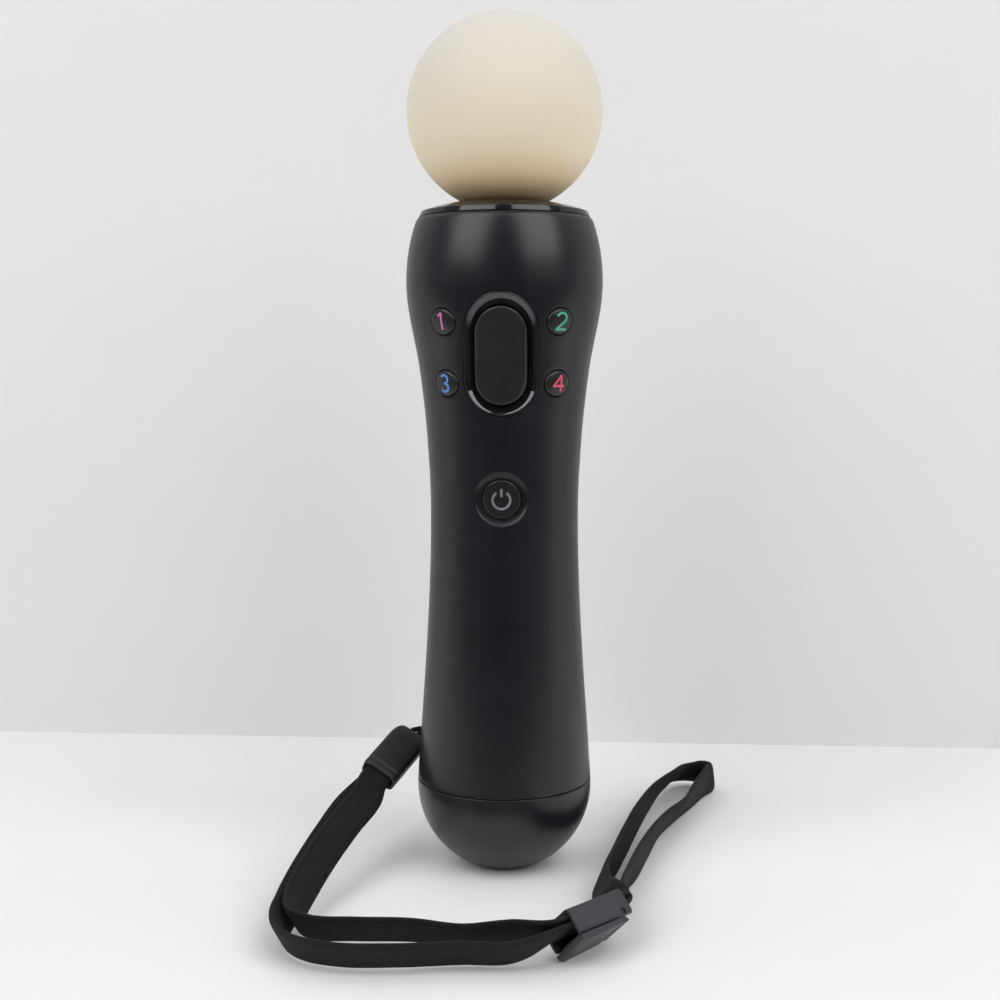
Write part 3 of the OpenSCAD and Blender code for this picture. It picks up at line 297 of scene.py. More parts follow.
def rounded_box(x0, x1, y0, y1, radii, n=8, step=0.8):
    """Corner radii from the lower right one, counter-clockwise."""
    corners = [(x1, y0, -90), (x1, y1, 0), (x0, y1, 90), (x0, y0, 180)]

    def make(e):
        pts = []
        for (cx, cy, a0), r in zip(corners, radii):
            ox, oy = cx + (-r if cx == x1 else r), cy + (-r if cy == y1 else r)
            for k in range(n + 1):
                t = math.radians(a0 + 90 * k / n)
                pts.append((ox + (r + e) * math.cos(t), oy + (r + e) * math.sin(t)))
        out = []
        for i, p in enumerate(pts):
            out.append(p)
            q = pts[(i + 1) % len(pts)]
            if (i + 1) % (n + 1) == 0:
                length = (y1 - y0) if i // (n + 1) in (0, 2) else (x1 - x0)
                m = max(1, int(length / step))
                for k in range(1, m):
                    out.append((p[0] + (q[0] - p[0]) * k / m, p[1] + (q[1] - p[1]) * k / m))
        return np.array(out)

    return make


def grown(loop, e):
    """A closed counter-clockwise loop moved outward by e at every vertex."""
    d1, d0 = np.roll(loop, -1, 0) - loop, loop - np.roll(loop, 1, 0)
    n1 = np.stack([d1[:, 1], -d1[:, 0]], 1) / np.linalg.norm(d1, axis=1)[:, None]
    n0 = np.stack([d0[:, 1], -d0[:, 0]], 1) / np.linalg.norm(d0, axis=1)[:, None]
    n = n0 + n1
    n /= np.maximum((n * n1).sum(1), 0.5)[:, None]
    return loop + n * e


def inside(points, loop):
    x, y = points[:, 0], points[:, 1]
    hit = np.zeros(len(points), bool)
    for (x0, y0), (x1, y1) in zip(loop, np.roll(loop, -1, 0)):
        cross = (y0 > y) != (y1 > y)
        with np.errstate(divide="ignore", invalid="ignore"):
            hit ^= cross & (x < (x1 - x0) * (y - y0) / (y1 - y0) + x0)
    return hit


# Mesh building
BODY_OF = {n: b for b, ns in frame["record"]["behaviour"]["bodies"].items() for n in ns}
SLOT_OF = {s["node"]: s["material_slot"] for s in frame["record"]["subparts"]}


class Build:
    """Collects rings and patches in millimetres and turns them into one object."""

    def __init__(self):
        self.v, self.f = [], []

    def add(self, pts):
        i = len(self.v)
        self.v.extend([tuple(map(float, p)) for p in pts])
        return np.arange(i, len(self.v))

    def quads(self, a, b):
        n = len(a)
        for i in range(n):
            j = (i + 1) % n
            self.f.append((a[i], a[j], b[j], b[i]))

    def flare(self, ring, new):
        """Quads from a ring out to a wider one."""
        n = len(ring)
        for i in range(n):
            j = (i + 1) % n
            self.f.append((ring[i], new[i], new[j], ring[j]))

    def fan(self, ring, tip):
        k = self.add([tip])[0]
        n = len(ring)
        for i in range(n):
            self.f.append((ring[i], ring[(i + 1) % n], k))

    def stack(self, rings):
        """Joins closed rings one after the other."""
        ids = [self.add(r) for r in rings]
        for a, b in zip(ids, ids[1:]):
            self.quads(a, b)
        return ids

    def skin(self, place, boundary, holes=(), step=0.9, rim=()):
        """Fills a flat outline round its holes and lays it on a surface.

        Rim rings run outward, and hole rings inward."""
        loops = [boundary] + [h["uv"](h["rings"][0][0]) for h in holes]
        lo, hi = boundary.min(0), boundary.max(0)
        nu, nv = int((hi[0] - lo[0]) / step) + 1, int((hi[1] - lo[1]) / step) + 1
        gu, gv = np.meshgrid(np.linspace(lo[0], hi[0], nu), np.linspace(lo[1], hi[1], nv))
        gu = gu + (np.arange(nv) % 2)[:, None] * (hi[0] - lo[0]) / nu / 2
        grid = np.stack([gu.ravel(), gv.ravel()], 1)
        keep = inside(grid, boundary)
        for k, loop in enumerate(loops):
            if k:
                keep &= ~inside(grid, loop)
            for i in range(0, len(loop), 40):
                near = np.linalg.norm(grid[:, None] - loop[None, i : i + 40], axis=2).min(1)
                keep &= near > 0.55 * step
        edges, first = [], []
        at = 0
        for loop in loops:
            first.append(at)
            edges += [(at + i, at + (i + 1) % len(loop)) for i in range(len(loop))]
            at += len(loop)
        pts = [Vector(p) for p in np.vstack(loops + [grid[keep]])]
        out, _, tris, origin, _, _ = delaunay_2d_cdt(pts, edges, [], 0, 1e-7)
        flat = np.array([tuple(p) for p in out])
        tri = np.array([tuple(t) for t in tris])
        mid = flat[tri].mean(1)
        ok = inside(mid, boundary)
        for loop in loops[1:]:
            ok &= ~inside(mid, loop)
        tri = tri[ok]
        d1, d2 = flat[tri[:, 1]] - flat[tri[:, 0]], flat[tri[:, 2]] - flat[tri[:, 0]]
        turn = d1[:, 0] * d2[:, 1] - d1[:, 1] * d2[:, 0] < 0
        tri[turn] = tri[turn][:, ::-1]
        base = self.add(place(flat[:, 0], flat[:, 1], 0.0))
        self.f += [tuple(int(base[k]) for k in t) for t in tri]
        where = {s: o for o, srcs in enumerate(origin) for s in srcs}
        ring = np.array([base[where[i]] for i in range(len(boundary))])
        for e, g in rim:
            loop = grown(boundary, e)
            new = self.add(place(loop[:, 0], loop[:, 1], g))
            self.flare(ring, new)
            ring = new
        for h, start, loop in zip(holes, first[1:], loops[1:]):
            ring = np.array([base[where[start + i]] for i in range(len(loop))])
            for r in h["rings"][1:]:
                new = self.add(h["at"](*r))
                self.quads(ring, new)
                ring = new
            if h["floor"]:
                self.fan(ring, np.mean([self.v[k] for k in ring], 0))

    def lathe(self, prof, n):
        t = around(n)
        return self.stack(
            [np.stack([r * np.sin(t), -r * np.cos(t), np.full(n, z)], 1) for r, z in prof])

    def loft(self, rings):
        ids = self.stack(rings)
        self.fan(ids[0][::-1], np.mean(rings[0], 0))
        self.fan(ids[-1], np.mean(rings[-1], 0))

    def strip(self, path, half, place):
        """A flat line of even width drawn on a surface."""
        p = np.asarray(path, float)
        t = np.gradient(p, axis=0)
        t /= np.linalg.norm(t, axis=1)[:, None]
        n = np.stack([-t[:, 1], t[:, 0]], 1)
        rows = [self.add(place(q[:, 0], q[:, 1])) for q in (p + n * half, p, p - n * half)]
        for a, b in zip(rows, rows[1:]):
            for i in range(len(p) - 1):
                self.f.append((a[i], b[i], b[i + 1], a[i + 1]))

    def object(self, name, mat, body="handle", nodes=(), uv=None):
        me = bpy.data.meshes.new(name)
        me.from_pydata([(x * MM, y * MM, z * MM) for x, y, z in self.v], [],
                       [tuple(int(i) for i in f) for f in self.f])
        me.update()
        if uv is not None:
            layer = me.uv_layers.new(name="run")
            idx = np.zeros(len(me.loops), int)
            me.loops.foreach_get("vertex_index", idx)
            layer.data.foreach_set("uv", np.asarray(uv, np.float32)[idx].ravel())
        me.shade_smooth()
        me.materials.append(mat)
        o = bpy.data.objects.new(name, me)
        scene.collection.objects.link(o)
        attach(o, body)
        if nodes:
            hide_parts(*nodes)
        return o


def bend(f, n, start=0.0):
    """Steps (e, g) that round an edge of radius f outward and down."""
    return [(f * math.sin(t), -f * (1 - math.cos(t))) for t in np.linspace(start, QUARTER, n)]


def fillet(f, n=5):
    """Steps (e, g) that round an edge of radius f from the skin into a hole's wall."""
    return [(f - e, g) for e, g in bend(f, n)]


def hole(phi, z0, outline, rings, floor=False):
    return {
        "uv": lambda e: to_uv(phi, z0, *outline(e).T),
        "at": lambda e, g, d=0.0: radial(phi, z0, *outline(e).T, g, d),
        "rings": rings,
        "floor": floor,
    }


# Wrist strap
BAND_W, BAND_T = 7.9, 1.2
YARN, RIB, SELVEDGE, GROOVE = 0.62, 0.95, 2.85, 0.17
FAR_FACE = 20.0  # how far the run coordinates of the band's second face are shifted


def woven(name, base):
    """Flat woven band: cross ribs broken by lengthwise yarns, in the band's run coordinates."""
    m = Mat(name)
    uv = m.nodes.new("ShaderNodeUVMap")
    uv.uv_map = "run"
    along, across, _ = split(m.tree, uv.outputs["UV"])
    yarn = m.math("SINE", m.math("MULTIPLY", across, 2 * math.pi / YARN))
    shift = m.math("MULTIPLY", m.math("SIGN", yarn), 0.25)
    rib = m.math("SINE", m.math("MULTIPLY", m.math("ADD", along, shift), 2 * math.pi / RIB))
    thread = m.math("ADD", m.math("ABSOLUTE", yarn), 0.35)
    weave = m.math("MULTIPLY", m.math("ADD", rib, 1.0), thread)
    fuzz = m.noise(2200.0)
    far = m.math("MULTIPLY", m.math("GREATER_THAN", across, FAR_FACE / 2), FAR_FACE)
    from_middle = m.math("ABSOLUTE", m.math("SUBTRACT", across, far))
    off_groove = m.math("ABSOLUTE", m.math("SUBTRACT", from_middle, SELVEDGE))
    groove = m.math("MULTIPLY", m.math("LESS_THAN", off_groove, GROOVE), 0.7)
    yarns = m.math("SUBTRACT", m.math("MULTIPLY", weave, 0.4), groove)
    height = m.math("ADD", yarns, m.math("MULTIPLY", fuzz, 0.8))
    # The colour follows the weave's height: painted shade darkens the hollows between yarns and the
    # selvedge grooves, and the fuzz adds random tone.
    dark, pale = times(base, 0.55, 1.5)
    m.color(m.ramp(height, [(0.2, dark), (1.4 / 1.6, pale)]))
    m.rough(m.span(fuzz, 0.72, 0.95))
    m.bump(height, 0.55, 0.00022)
    m.set(Sheen_Weight=0.03, Sheen_Roughness=0.5, Specular_IOR_Level=0.2)
    return m.mat


M_BAND = woven("band_weave", (0.0098, 0.0100, 0.0113))
M_SLEEVE = plastic("sleeve_rubber", (0.012, 0.0122, 0.0142), 0.52, grain=1900.0, bump=0.16)
M_LOCK = plastic("lock_plastic", (0.030, 0.029, 0.036), 0.42, grain=2400.0)
M_STEEL = metal("steel", (0.55, 0.56, 0.58), 0.3)

# Middle of the band in metres, and its lean from upright in degrees
BAND_ROUTE = [
    (-0.02997, 0.00209, 0.02066, 56), (-0.03118, -0.00012, 0.01955, 56),
    (-0.03197, -0.00157, 0.01883, 56), (-0.03640, -0.00800, 0.01510, 56),
    (-0.03960, -0.01700, 0.01150, 54), (-0.04200, -0.02700, 0.00860, 50),
    (-0.04380, -0.03700, 0.00620, 42), (-0.04480, -0.04600, 0.00470, 32),
    (-0.04490, -0.05300, 0.00420, 27), (-0.04320, -0.05900, 0.00400, 28),
    (-0.03860, -0.06380, 0.00400, 30), (-0.03100, -0.06640, 0.00390, 32),
    (-0.01900, -0.06640, 0.00390, 33), (-0.00600, -0.06460, 0.00390, 33),
    (0.00440, -0.06490, 0.00440, 36), (0.01280, -0.06166, 0.00672, 45),
    (0.01383, -0.06057, 0.00672, 45), (0.02498, -0.04882, 0.00672, 45),
    (0.02601, -0.04773, 0.00672, 45), (0.02570, -0.04490, 0.00640, 24),
    (0.02640, -0.03680, 0.00550, 16), (0.02800, -0.02600, 0.00450, 18),
    (0.03100, -0.01550, 0.00420, 7), (0.03500, -0.00050, 0.00420, 10),
    (0.03960, 0.01480, 0.00410, 23), (0.04510, 0.02720, 0.00400, 28),
    (0.04980, 0.04000, 0.00420, 12), (0.05360, 0.05020, 0.00420, 4),
    (0.05570, 0.05580, 0.00430, -9), (0.05280, 0.05890, 0.00440, -30),
    (0.04740, 0.05760, 0.00450, -44), (0.04340, 0.05050, 0.00430, -36),
    (0.03880, 0.03870, 0.00410, -18), (0.03400, 0.02160, 0.00420, -6),
    (0.02900, -0.00030, 0.00420, -2), (0.02580, -0.01440, 0.00420, -6),
    (0.02290, -0.02460, 0.00450, -22), (0.02310, -0.03500, 0.00520, -28),
    (0.02350, -0.04200, 0.00760, -40), (0.02519, -0.04695, 0.00785, -45),
    (0.02416, -0.04804, 0.00785, -45), (0.01301, -0.05979, 0.00785, -45),
    (0.01198, -0.06088, 0.00785, -45), (0.00420, -0.05920, 0.00660, -41),
    (-0.00500, -0.05680, 0.00420, -34), (-0.01700, -0.05380, 0.00390, -32),
    (-0.02900, -0.05380, 0.00390, -31), (-0.03750, -0.05360, 0.00400, -30),
    (-0.04200, -0.05080, 0.00420, -29), (-0.04300, -0.04500, 0.00520, -33),
    (-0.04200, -0.03650, 0.00750, -42), (-0.03960, -0.02600, 0.01060, -50),
    (-0.03630, -0.01600, 0.01390, -54), (-0.03250, -0.00700, 0.01740, -56),
    (-0.03141, -0.00252, 0.02012, -56), (-0.03062, -0.00108, 0.02085, -56),
    (-0.02941, 0.00113, 0.02195, -56),
]


def refined(route, step):
    """A smooth run through the points of a route, in millimetres."""
    p = np.array(route, float)
    p[:, :3] *= 1000.0
    d = np.linalg.norm(np.diff(p[:, :3], axis=0), axis=1)[:, None]
    s = np.diff(p, axis=0) / d
    m = np.vstack([s[:1], (s[:-1] * d[1:] + s[1:] * d[:-1]) / (d[:-1] + d[1:]), s[-1:]])
    out = []
    for i in range(len(p) - 1):
        n = max(1, int(math.ceil(d[i, 0] / step)))
        for k in range(n):
            out.append(hermite(k / n, p[i], p[i + 1], d[i] * m[i], d[i] * m[i + 1]))
    out.append(p[-1])
    return np.array(out)


def run_frames(route):
    """Points of a run, with the band's width and normal there."""
    p, lean = route[:, :3], np.radians(route[:, 3])
    t = np.gradient(p, axis=0)
    t /= np.linalg.norm(t, axis=1)[:, None]
    s = np.cross(t, [0, 0, 1.0])
    s /= np.linalg.norm(s, axis=1)[:, None]
    w = np.cos(lean)[:, None] * np.cross(s, t) + np.sin(lean)[:, None] * s
    return p, w, np.cross(t, w)


# How far each change of the section reaches along the band, and how much it changes there
LOOP_START, LOOP_BLEND, LOOP_WIDER, LOOP_THICKER = -40.0, 25.0, 0.06, 0.12
BEND_RUN, BEND_THICKER = 11.0, 0.9
PINCH_RUN, PINCH = 7.0, 0.16
FOLD_RUN, FOLD, FOLD_WAVES = 6.0, 0.12, 9.0
SQUARE, SQUARE_LOOP, SQUARE_BEND, BULGE, ACROSS = 8, 4, 9.0, 0.08, 11


def band():
    """The woven band: gathered in the sleeve, fuller in the loop and most at the loop's bend."""
    p, w, n = run_frames(refined(BAND_ROUTE, 0.7))
    run = np.concatenate([[0], np.cumsum(np.linalg.norm(np.diff(p, axis=0), axis=1))])
    total = run[-1]
    from_end = np.minimum(run, total - run)
    pinch = 1 - PINCH * np.exp(-((from_end / PINCH_RUN) ** 2))
    at_bend = np.exp(-(((run - run[np.argmax(p[:, 1])]) / BEND_RUN) ** 2))
    in_loop = np.clip((p[:, 1] - LOOP_START) / LOOP_BLEND, 0, 1) * (p[:, 0] > 0)
    half_w = BAND_W / 2 * pinch * (1 + LOOP_WIDER * in_loop)
    half_t = BAND_T / 2 * (1 + LOOP_THICKER * in_loop + BEND_THICKER * at_bend)
    square = SQUARE + SQUARE_LOOP * in_loop - SQUARE_BEND * at_bend
    fold = FOLD * np.exp(-((from_end / FOLD_RUN) ** 2))
    xs = np.cos(np.linspace(0, math.pi, ACROSS))
    section = [(x, 1.0) for x in xs] + [(x, -1.0) for x in xs[::-1]]
    b = Build()
    rings, uv = [], []
    for i in range(len(p)):
        ring = []
        for x, s in section:
            edge = math.sqrt(max(0.0, 1 - abs(x) ** square[i]))
            wave = fold[i] * math.cos(x * FOLD_WAVES)
            y = edge * (s * half_t[i] * (1 - BULGE * x * x) + wave)
            ring.append(p[i] + w[i] * x * half_w[i] + n[i] * y)
            uv.append((run[i], x * BAND_W / 2 + (0 if s > 0 else FAR_FACE)))
        rings.append(ring)
    b.loft(rings)
    uv += [(0, 0), (total, 0)]
    o = b.object("strap_band_weave", M_BAND, nodes=("strap_band",), uv=uv)
    return o, p * MM, total * MM


strap, strap_path, strap_length = band()

SLEEVE_L, SLEEVE_WIDE, SLEEVE_THICK, SLEEVE_SQUARE = 16.6, 9.2, 5.2, 5.0
SLEEVE_AT = np.array([-30.9, -0.6, 20.2])
SLEEVE_T = np.array([-7.0, -12.8, -6.4])
SLEEVE_T /= np.linalg.norm(SLEEVE_T)
SLEEVE_S = np.cross(SLEEVE_T, [0, 0, 1.0])
SLEEVE_S /= np.linalg.norm(SLEEVE_S)
LEAN = math.radians(56)
SLEEVE_W = math.cos(LEAN) * np.cross(SLEEVE_S, SLEEVE_T) + math.sin(LEAN) * SLEEVE_S
SLEEVE_N = np.cross(SLEEVE_T, SLEEVE_W)


def super_ring(half_w, half_t, power, n=48):
    c, s = np.cos(around(n)), np.sin(around(n))
    return np.stack([half_w * np.sign(c) * np.abs(c) ** (2 / power),
                     half_t * np.sign(s) * np.abs(s) ** (2 / power)], 1)


def sleeve():
    b = Build()
    # Distance from the band's end, and the shares of the full width and thickness there
    spec = [(2.6, 0.84, 0.58), (0.25, 0.86, 0.60), (0.0, 0.90, 0.70), (0.05, 0.95, 0.86),
            (0.3, 0.985, 0.96), (0.7, 1.0, 1.0), (1.5, 1.0, 1.0), (1.75, 0.965, 0.93),
            (2.0, 0.965, 0.93), (2.25, 1.0, 1.0)]
    spec += [(d, 1.0, 1.0) for d in np.linspace(3.0, 11.5, 12)]
    for t in np.linspace(0, QUARTER, 12):
        narrow = 1 - math.cos(t)
        spec.append((11.9 + 4.4 * math.sin(t), 1 - 0.36 * narrow, 1 - 0.34 * narrow))
    spec += [(16.5, 0.54, 0.55), (SLEEVE_L, 0.45, 0.45), (16.4, 0.36, 0.34), (14.5, 0.34, 0.32)]
    rings = []
    for d, kw, kt in spec:
        ring = super_ring(SLEEVE_WIDE / 2 * kw, SLEEVE_THICK / 2 * kt, SLEEVE_SQUARE)
        rings.append(SLEEVE_AT - SLEEVE_T * d + ring[:, :1] * SLEEVE_W - ring[:, 1:] * SLEEVE_N)
    b.loft(rings)
    return b.object("strap_sleeve_moulding", M_SLEEVE, nodes=("strap_sleeve",))


def tube(path, radius, sides):
    t = np.gradient(path, axis=0)
    t /= np.linalg.norm(t, axis=1)[:, None]
    up = np.cross(t[0], [0.3, 0.2, 0.93])
    a = around(sides)
    rings = []
    for i in range(len(path)):
        up = up - t[i] * np.dot(up, t[i])
        up /= np.linalg.norm(up)
        side = np.cross(t[i], up)
        rings.append(path[i] + radius * (np.cos(a)[:, None] * up + np.sin(a)[:, None] * side))
    return rings


ANCHOR_TURN, ANCHOR_Z, ANCHOR_IN = math.radians(232), 27.4, 2.3
CORD_D, BAR_D, CORD_SIDES, CORD_STEP = 1.4, 1.6, 16, 0.35


def lanyard():
    """A twisted cord from the sleeve round the anchor's bar and back."""
    inset, slack, lead, gap = 2.6, 0.25, 3.6, CORD_D * 0.62
    out = np.array([math.sin(ANCHOR_TURN), -math.cos(ANCHOR_TURN), 0.0])
    bar = out * (float(body_r(ANCHOR_Z)) - ANCHOR_IN) + np.array([0, 0, ANCHOR_Z])
    side = np.cross(out, [0, 0, 1.0])
    r = BAR_D / 2 + CORD_D / 2 + 0.1
    top = SLEEVE_AT - SLEEVE_T * (SLEEVE_L - inset + slack)
    up = -SLEEVE_T * (inset + 0.6)
    pts = [top - SLEEVE_W * gap, top - SLEEVE_W * gap + up, bar - r * side + out * lead]
    pts += [bar + r * (side * math.sin(a) - out * math.cos(a))
            for a in np.radians(np.arange(-90, 91, 30))]
    pts += [bar + r * side + out * lead, top + SLEEVE_W * gap + up, top + SLEEVE_W * gap]
    path = refined([(*(q / 1000.0), 0.0) for q in pts], CORD_STEP)[:, :3]
    b = Build()
    rings = tube(path, CORD_D / 2 * 0.94, CORD_SIDES)
    for i, c in enumerate(path):
        strands = np.cos(around(CORD_SIDES) * 4 + i * 0.9)
        rings[i] = c + (rings[i] - c) * (1 + 0.07 * strands)[:, None]
    b.loft(rings)
    uv = [(i * CORD_STEP, k * 0.3) for i in range(len(rings)) for k in range(CORD_SIDES)]
    uv += [(0, 0), (0, 0)]
    return b.object("strap_lanyard_cord", M_BAND, nodes=("strap_lanyard",), uv=uv)


sleeve_piece = sleeve()
lanyard_piece = lanyard()
for node in ("lock_body", "lock_lever"):
    bevel = frame["nodes"][node].modifiers.new("edges", "BEVEL")
    bevel.width = 0.00045
    bevel.segments = 3
    bevel.limit_method = "ANGLE"
    bevel.angle_limit = math.radians(32)

# Finishes of the wand
SHELL_COLOR = (0.0076, 0.0084, 0.0114)
BUTTON_COLOR, OVAL_COLOR = (0.013, 0.013, 0.015), (0.012, 0.012, 0.014)
M_SHELL = plastic("shell_matte", SHELL_COLOR, 0.3, grain=3200.0, bump=0.16)
M_CAP = plastic("cap_satin", SHELL_COLOR, 0.3, grain=3200.0)
M_GLOSS = plastic("gloss_black", (0.006, 0.006, 0.007), 0.07, grain=900.0, bump=0.01, coat=1.0)
M_COLLAR = plastic("collar_gloss", (0.005, 0.005, 0.006), 0.09, grain=900.0, bump=0.01, spec=0.55)
M_BUTTON = plastic("button_satin", BUTTON_COLOR, 0.3, bump=0.06)
M_OVAL = plastic("oval_satin", OVAL_COLOR, 0.42, grain=3000.0, bump=0.1)
M_TRIGGER = plastic("trigger_satin", OVAL_COLOR, 0.36, grain=2800.0, bump=0.08)


def ink(name, base):
    m = Mat(name)
    m.color(m.mottled(m.noise(900.0), times(base, 0.85, 1.12)))
    m.rough(m.span(m.noise(600.0, 2.0), 0.3, 0.45))
    return m.mat


# Colour by height up the ball is painted light: painted shade darkens and warms it near the collar,
# and a painted sheen makes it paler above.
ORB_LOW, ORB_TALL = 0.1575, 0.0435
ORB_PAINTED_LIGHT_STOPS = [(0.0, (0.68, 0.50, 0.27)), (0.22, (0.78, 0.68, 0.515)), (0.6, (0.70, 0.66, 0.56)),
             (1.0, (0.62, 0.595, 0.565))]


def ivory():
    """Soft rubber of the ball, mottled a little, with painted light: darker and warmer near the
    collar as painted shade, paler above as a painted sheen.
    """
    m = Mat("orb_skin")
    z = split(m.tree, m.place)["Z"]
    mottle = m.math("MULTIPLY", m.math("SUBTRACT", m.noise(26.0, 5.0), 0.5), 0.12)
    height = m.math("DIVIDE", m.math("SUBTRACT", z, ORB_LOW), ORB_TALL)
    m.color(m.ramp(m.math("ADD", height, mottle), ORB_PAINTED_LIGHT_STOPS))
    m.rough(m.span(m.noise(120.0), 0.62, 0.74))
    m.bump(m.noise(1500.0), 0.14, 0.0001)
    m.set(Subsurface_Weight=0.35, Subsurface_Radius=(0.006, 0.0042, 0.0026), Subsurface_Scale=1.0,
          Sheen_Weight=0.08, Specular_IOR_Level=0.28)
    return m.mat


M_ORB = ivory()

# Shells
EDGE, SEAM_GAP = 0.14, 0.25
SIDE_Z, SIDE_L, SIDE_WD, SIDE_GAP = 99.0, 8.0, 3.6, 0.25
RIM_STEPS = bend(EDGE, 4, 0.3) + [(EDGE, -WALL)]


def side_notch():
    """The half of a side button's opening in one shell, from low to high, as (a, b)."""
    half, run = SIDE_WD / 2 + SIDE_GAP, (SIDE_L - SIDE_WD) / 2
    turn = np.linspace(0, QUARTER, 10)
    pts = [(half * math.sin(t), -run - half * math.cos(t)) for t in turn]
    pts += [(half, b) for b in np.linspace(-run, run, 8)[1:-1]]
    return pts + [(half * math.cos(t), run + half * math.sin(t)) for t in turn]


def shell_boundary(centre):
    """Outline of one shell in (u, v), with the side openings' halves cut from its long edges."""
    half = GIRTH_R * QUARTER - EDGE
    low, high = SEAM_Z + SEAM_GAP + EDGE, V_TOP - EDGE

    def line(a, b):
        a, b = np.array(a), np.array(b)
        n = max(2, int(np.linalg.norm(b - a) / 0.8))
        return [tuple(a + (b - a) * k / n) for k in range(n)]

    notch_r = [(half - GIRTH_R * math.asin(a / float(body_r(SIDE_Z + b))), SIDE_Z + b)
               for a, b in side_notch()]
    notch_l = [(-u, v) for u, v in notch_r][::-1]
    pts = line((-half, low), (half, low)) + line((half, low), notch_r[0]) + notch_r[:-1]
    pts += line(notch_r[-1], (half, high)) + line((half, high), (-half, high))
    pts += line((-half, high), notch_l[0]) + notch_l[:-1] + line(notch_l[-1], (-half, low))
    return np.array([(u + GIRTH_R * centre, v) for u, v in pts])


PAD_Z, ROW = 122.8, 13.8
UP, DOWN = math.radians(36.7), math.radians(39.7)
ROW_UP, ROW_DOWN = PAD_Z + ROW / 2, PAD_Z - ROW / 2
SMALL = [("button_1", -UP, ROW_UP), ("button_2", UP, ROW_UP), ("button_3", -DOWN, ROW_DOWN),
         ("button_4", DOWN, ROW_DOWN)]
# The small caps are a little wider than tall, so that they look round from the front.
SMALL_RX, SMALL_RY, SMALL_GAP = 3.4, 2.95, 0.17
SMALL_TOP, SMALL_ROUND, SMALL_DOME = 0.5, 0.8, 0.2
HOME_Z, HOME_R, HOME_GAP = 89.8, 4.4, 0.12
HOME_TOP, HOME_ROUND, HOME_DOME = -0.2, 0.35, -0.08
DISH_R, DISH_T, DISH_LIP, LIP_T = 6.2, 0.7, 0.22, 0.05
BEZEL_Z, BEZEL_W, BEZEL_H, BEZEL_GAP = PAD_Z - 0.35, 16.6, 27.5, 0.2
OVAL_Z, OVAL_W, OVAL_H, OPEN_W, OPEN_H = PAD_Z - 0.75, 11.7, 22.0, 12.2, 22.5


def front_shell():
    b = Build()
    small = ellipse(SMALL_RX + SMALL_GAP, SMALL_RY + SMALL_GAP)
    holes = [hole(p, z, small, fillet(0.13) + [(0.0, -WALL)]) for _, p, z in SMALL]
    bezel_hole = pill(BEZEL_W + BEZEL_GAP, BEZEL_H + BEZEL_GAP)
    holes.append(hole(0.0, BEZEL_Z, bezel_hole, fillet(0.1) + [(0.0, -WALL)]))
    bore = HOME_R + HOME_GAP
    reach = DISH_R - bore
    dish = [(reach + DISH_LIP - DISH_LIP * k, -LIP_T * k * k) for k in np.linspace(0, 1, 5)]
    dish += [(reach * (1 - k), -LIP_T - (DISH_T - LIP_T) * math.sin(k * QUARTER) ** 0.9)
             for k in np.linspace(0.12, 1, 9)]
    dish += [(0.0, -DISH_T - 0.12), (0.0, -WALL)]
    holes.append(hole(0.0, HOME_Z, circle(bore, 72), dish))
    b.skin(on_body, shell_boundary(0.0), holes, 0.8, RIM_STEPS)
    return b.object("front_shell_skin", M_SHELL, nodes=("front_shell",))


TRIG_Z0, TRIG_Z1, TRIG_W, TRIG_GAP, TRIG_SWING = 109.0, 141.5, 17.2, 0.4, 2.6
SCREWS = [(s * x, z) for s in (-1, 1) for x, z in ((11.5, 80.4), (15.2, 143.0))]
SCREW_R, SCREW_DEEP, POCKET, POCKET_DEEP = 2.2, 3.4, 2.7, 4.2


def rear_shell():
    b = Build()
    back, half = math.pi, TRIG_W / 2 + TRIG_GAP
    opening = rounded_box(-half, half, TRIG_Z0 - TRIG_SWING, TRIG_Z1 + TRIG_GAP,
                          (5.4, 0.6, 0.6, 5.4))
    holes = [hole(back, 0.0, opening, fillet(0.3) + [(0.0, -WALL)])]
    for x, z in SCREWS:
        well = fillet(0.2) + [(0.0, -0.2, 1.0), (0.0, -0.2, SCREW_DEEP)]
        holes.append(hole(back, z, circle(SCREW_R, 40, (-x, 0.0)), well))
    pocket = rounded_box(-POCKET, POCKET, -POCKET, POCKET, (0.4,) * 4, 4, 0.6)
    well = fillet(0.25) + [(0.0, -0.25, 1.0), (0.0, -0.25, POCKET_DEEP)]
    holes.append(hole(ANCHOR_TURN, ANCHOR_Z, pocket, well, True))
    b.skin(on_body, shell_boundary(back), holes, 0.8, RIM_STEPS)
    return b.object("rear_shell_skin", M_SHELL, nodes=("rear_shell",))


front_shell()
rear_shell()

# End cap
CAP_R, CAP_DOME_Z, CAP_BASE, CAP_FLAT, CAP_TOP, CAP_EDGE = 20.9, 19.3, 8.0, 7.3, 20.72, 0.18
SOCKETS = [(-4.05, 4.05, -5.8, -1.4), (-4.7, 4.7, 1.7, 5.5)]
CONTACT_R, CONTACT_X, CAP_WALL = 1.2, 6.0, 2.3


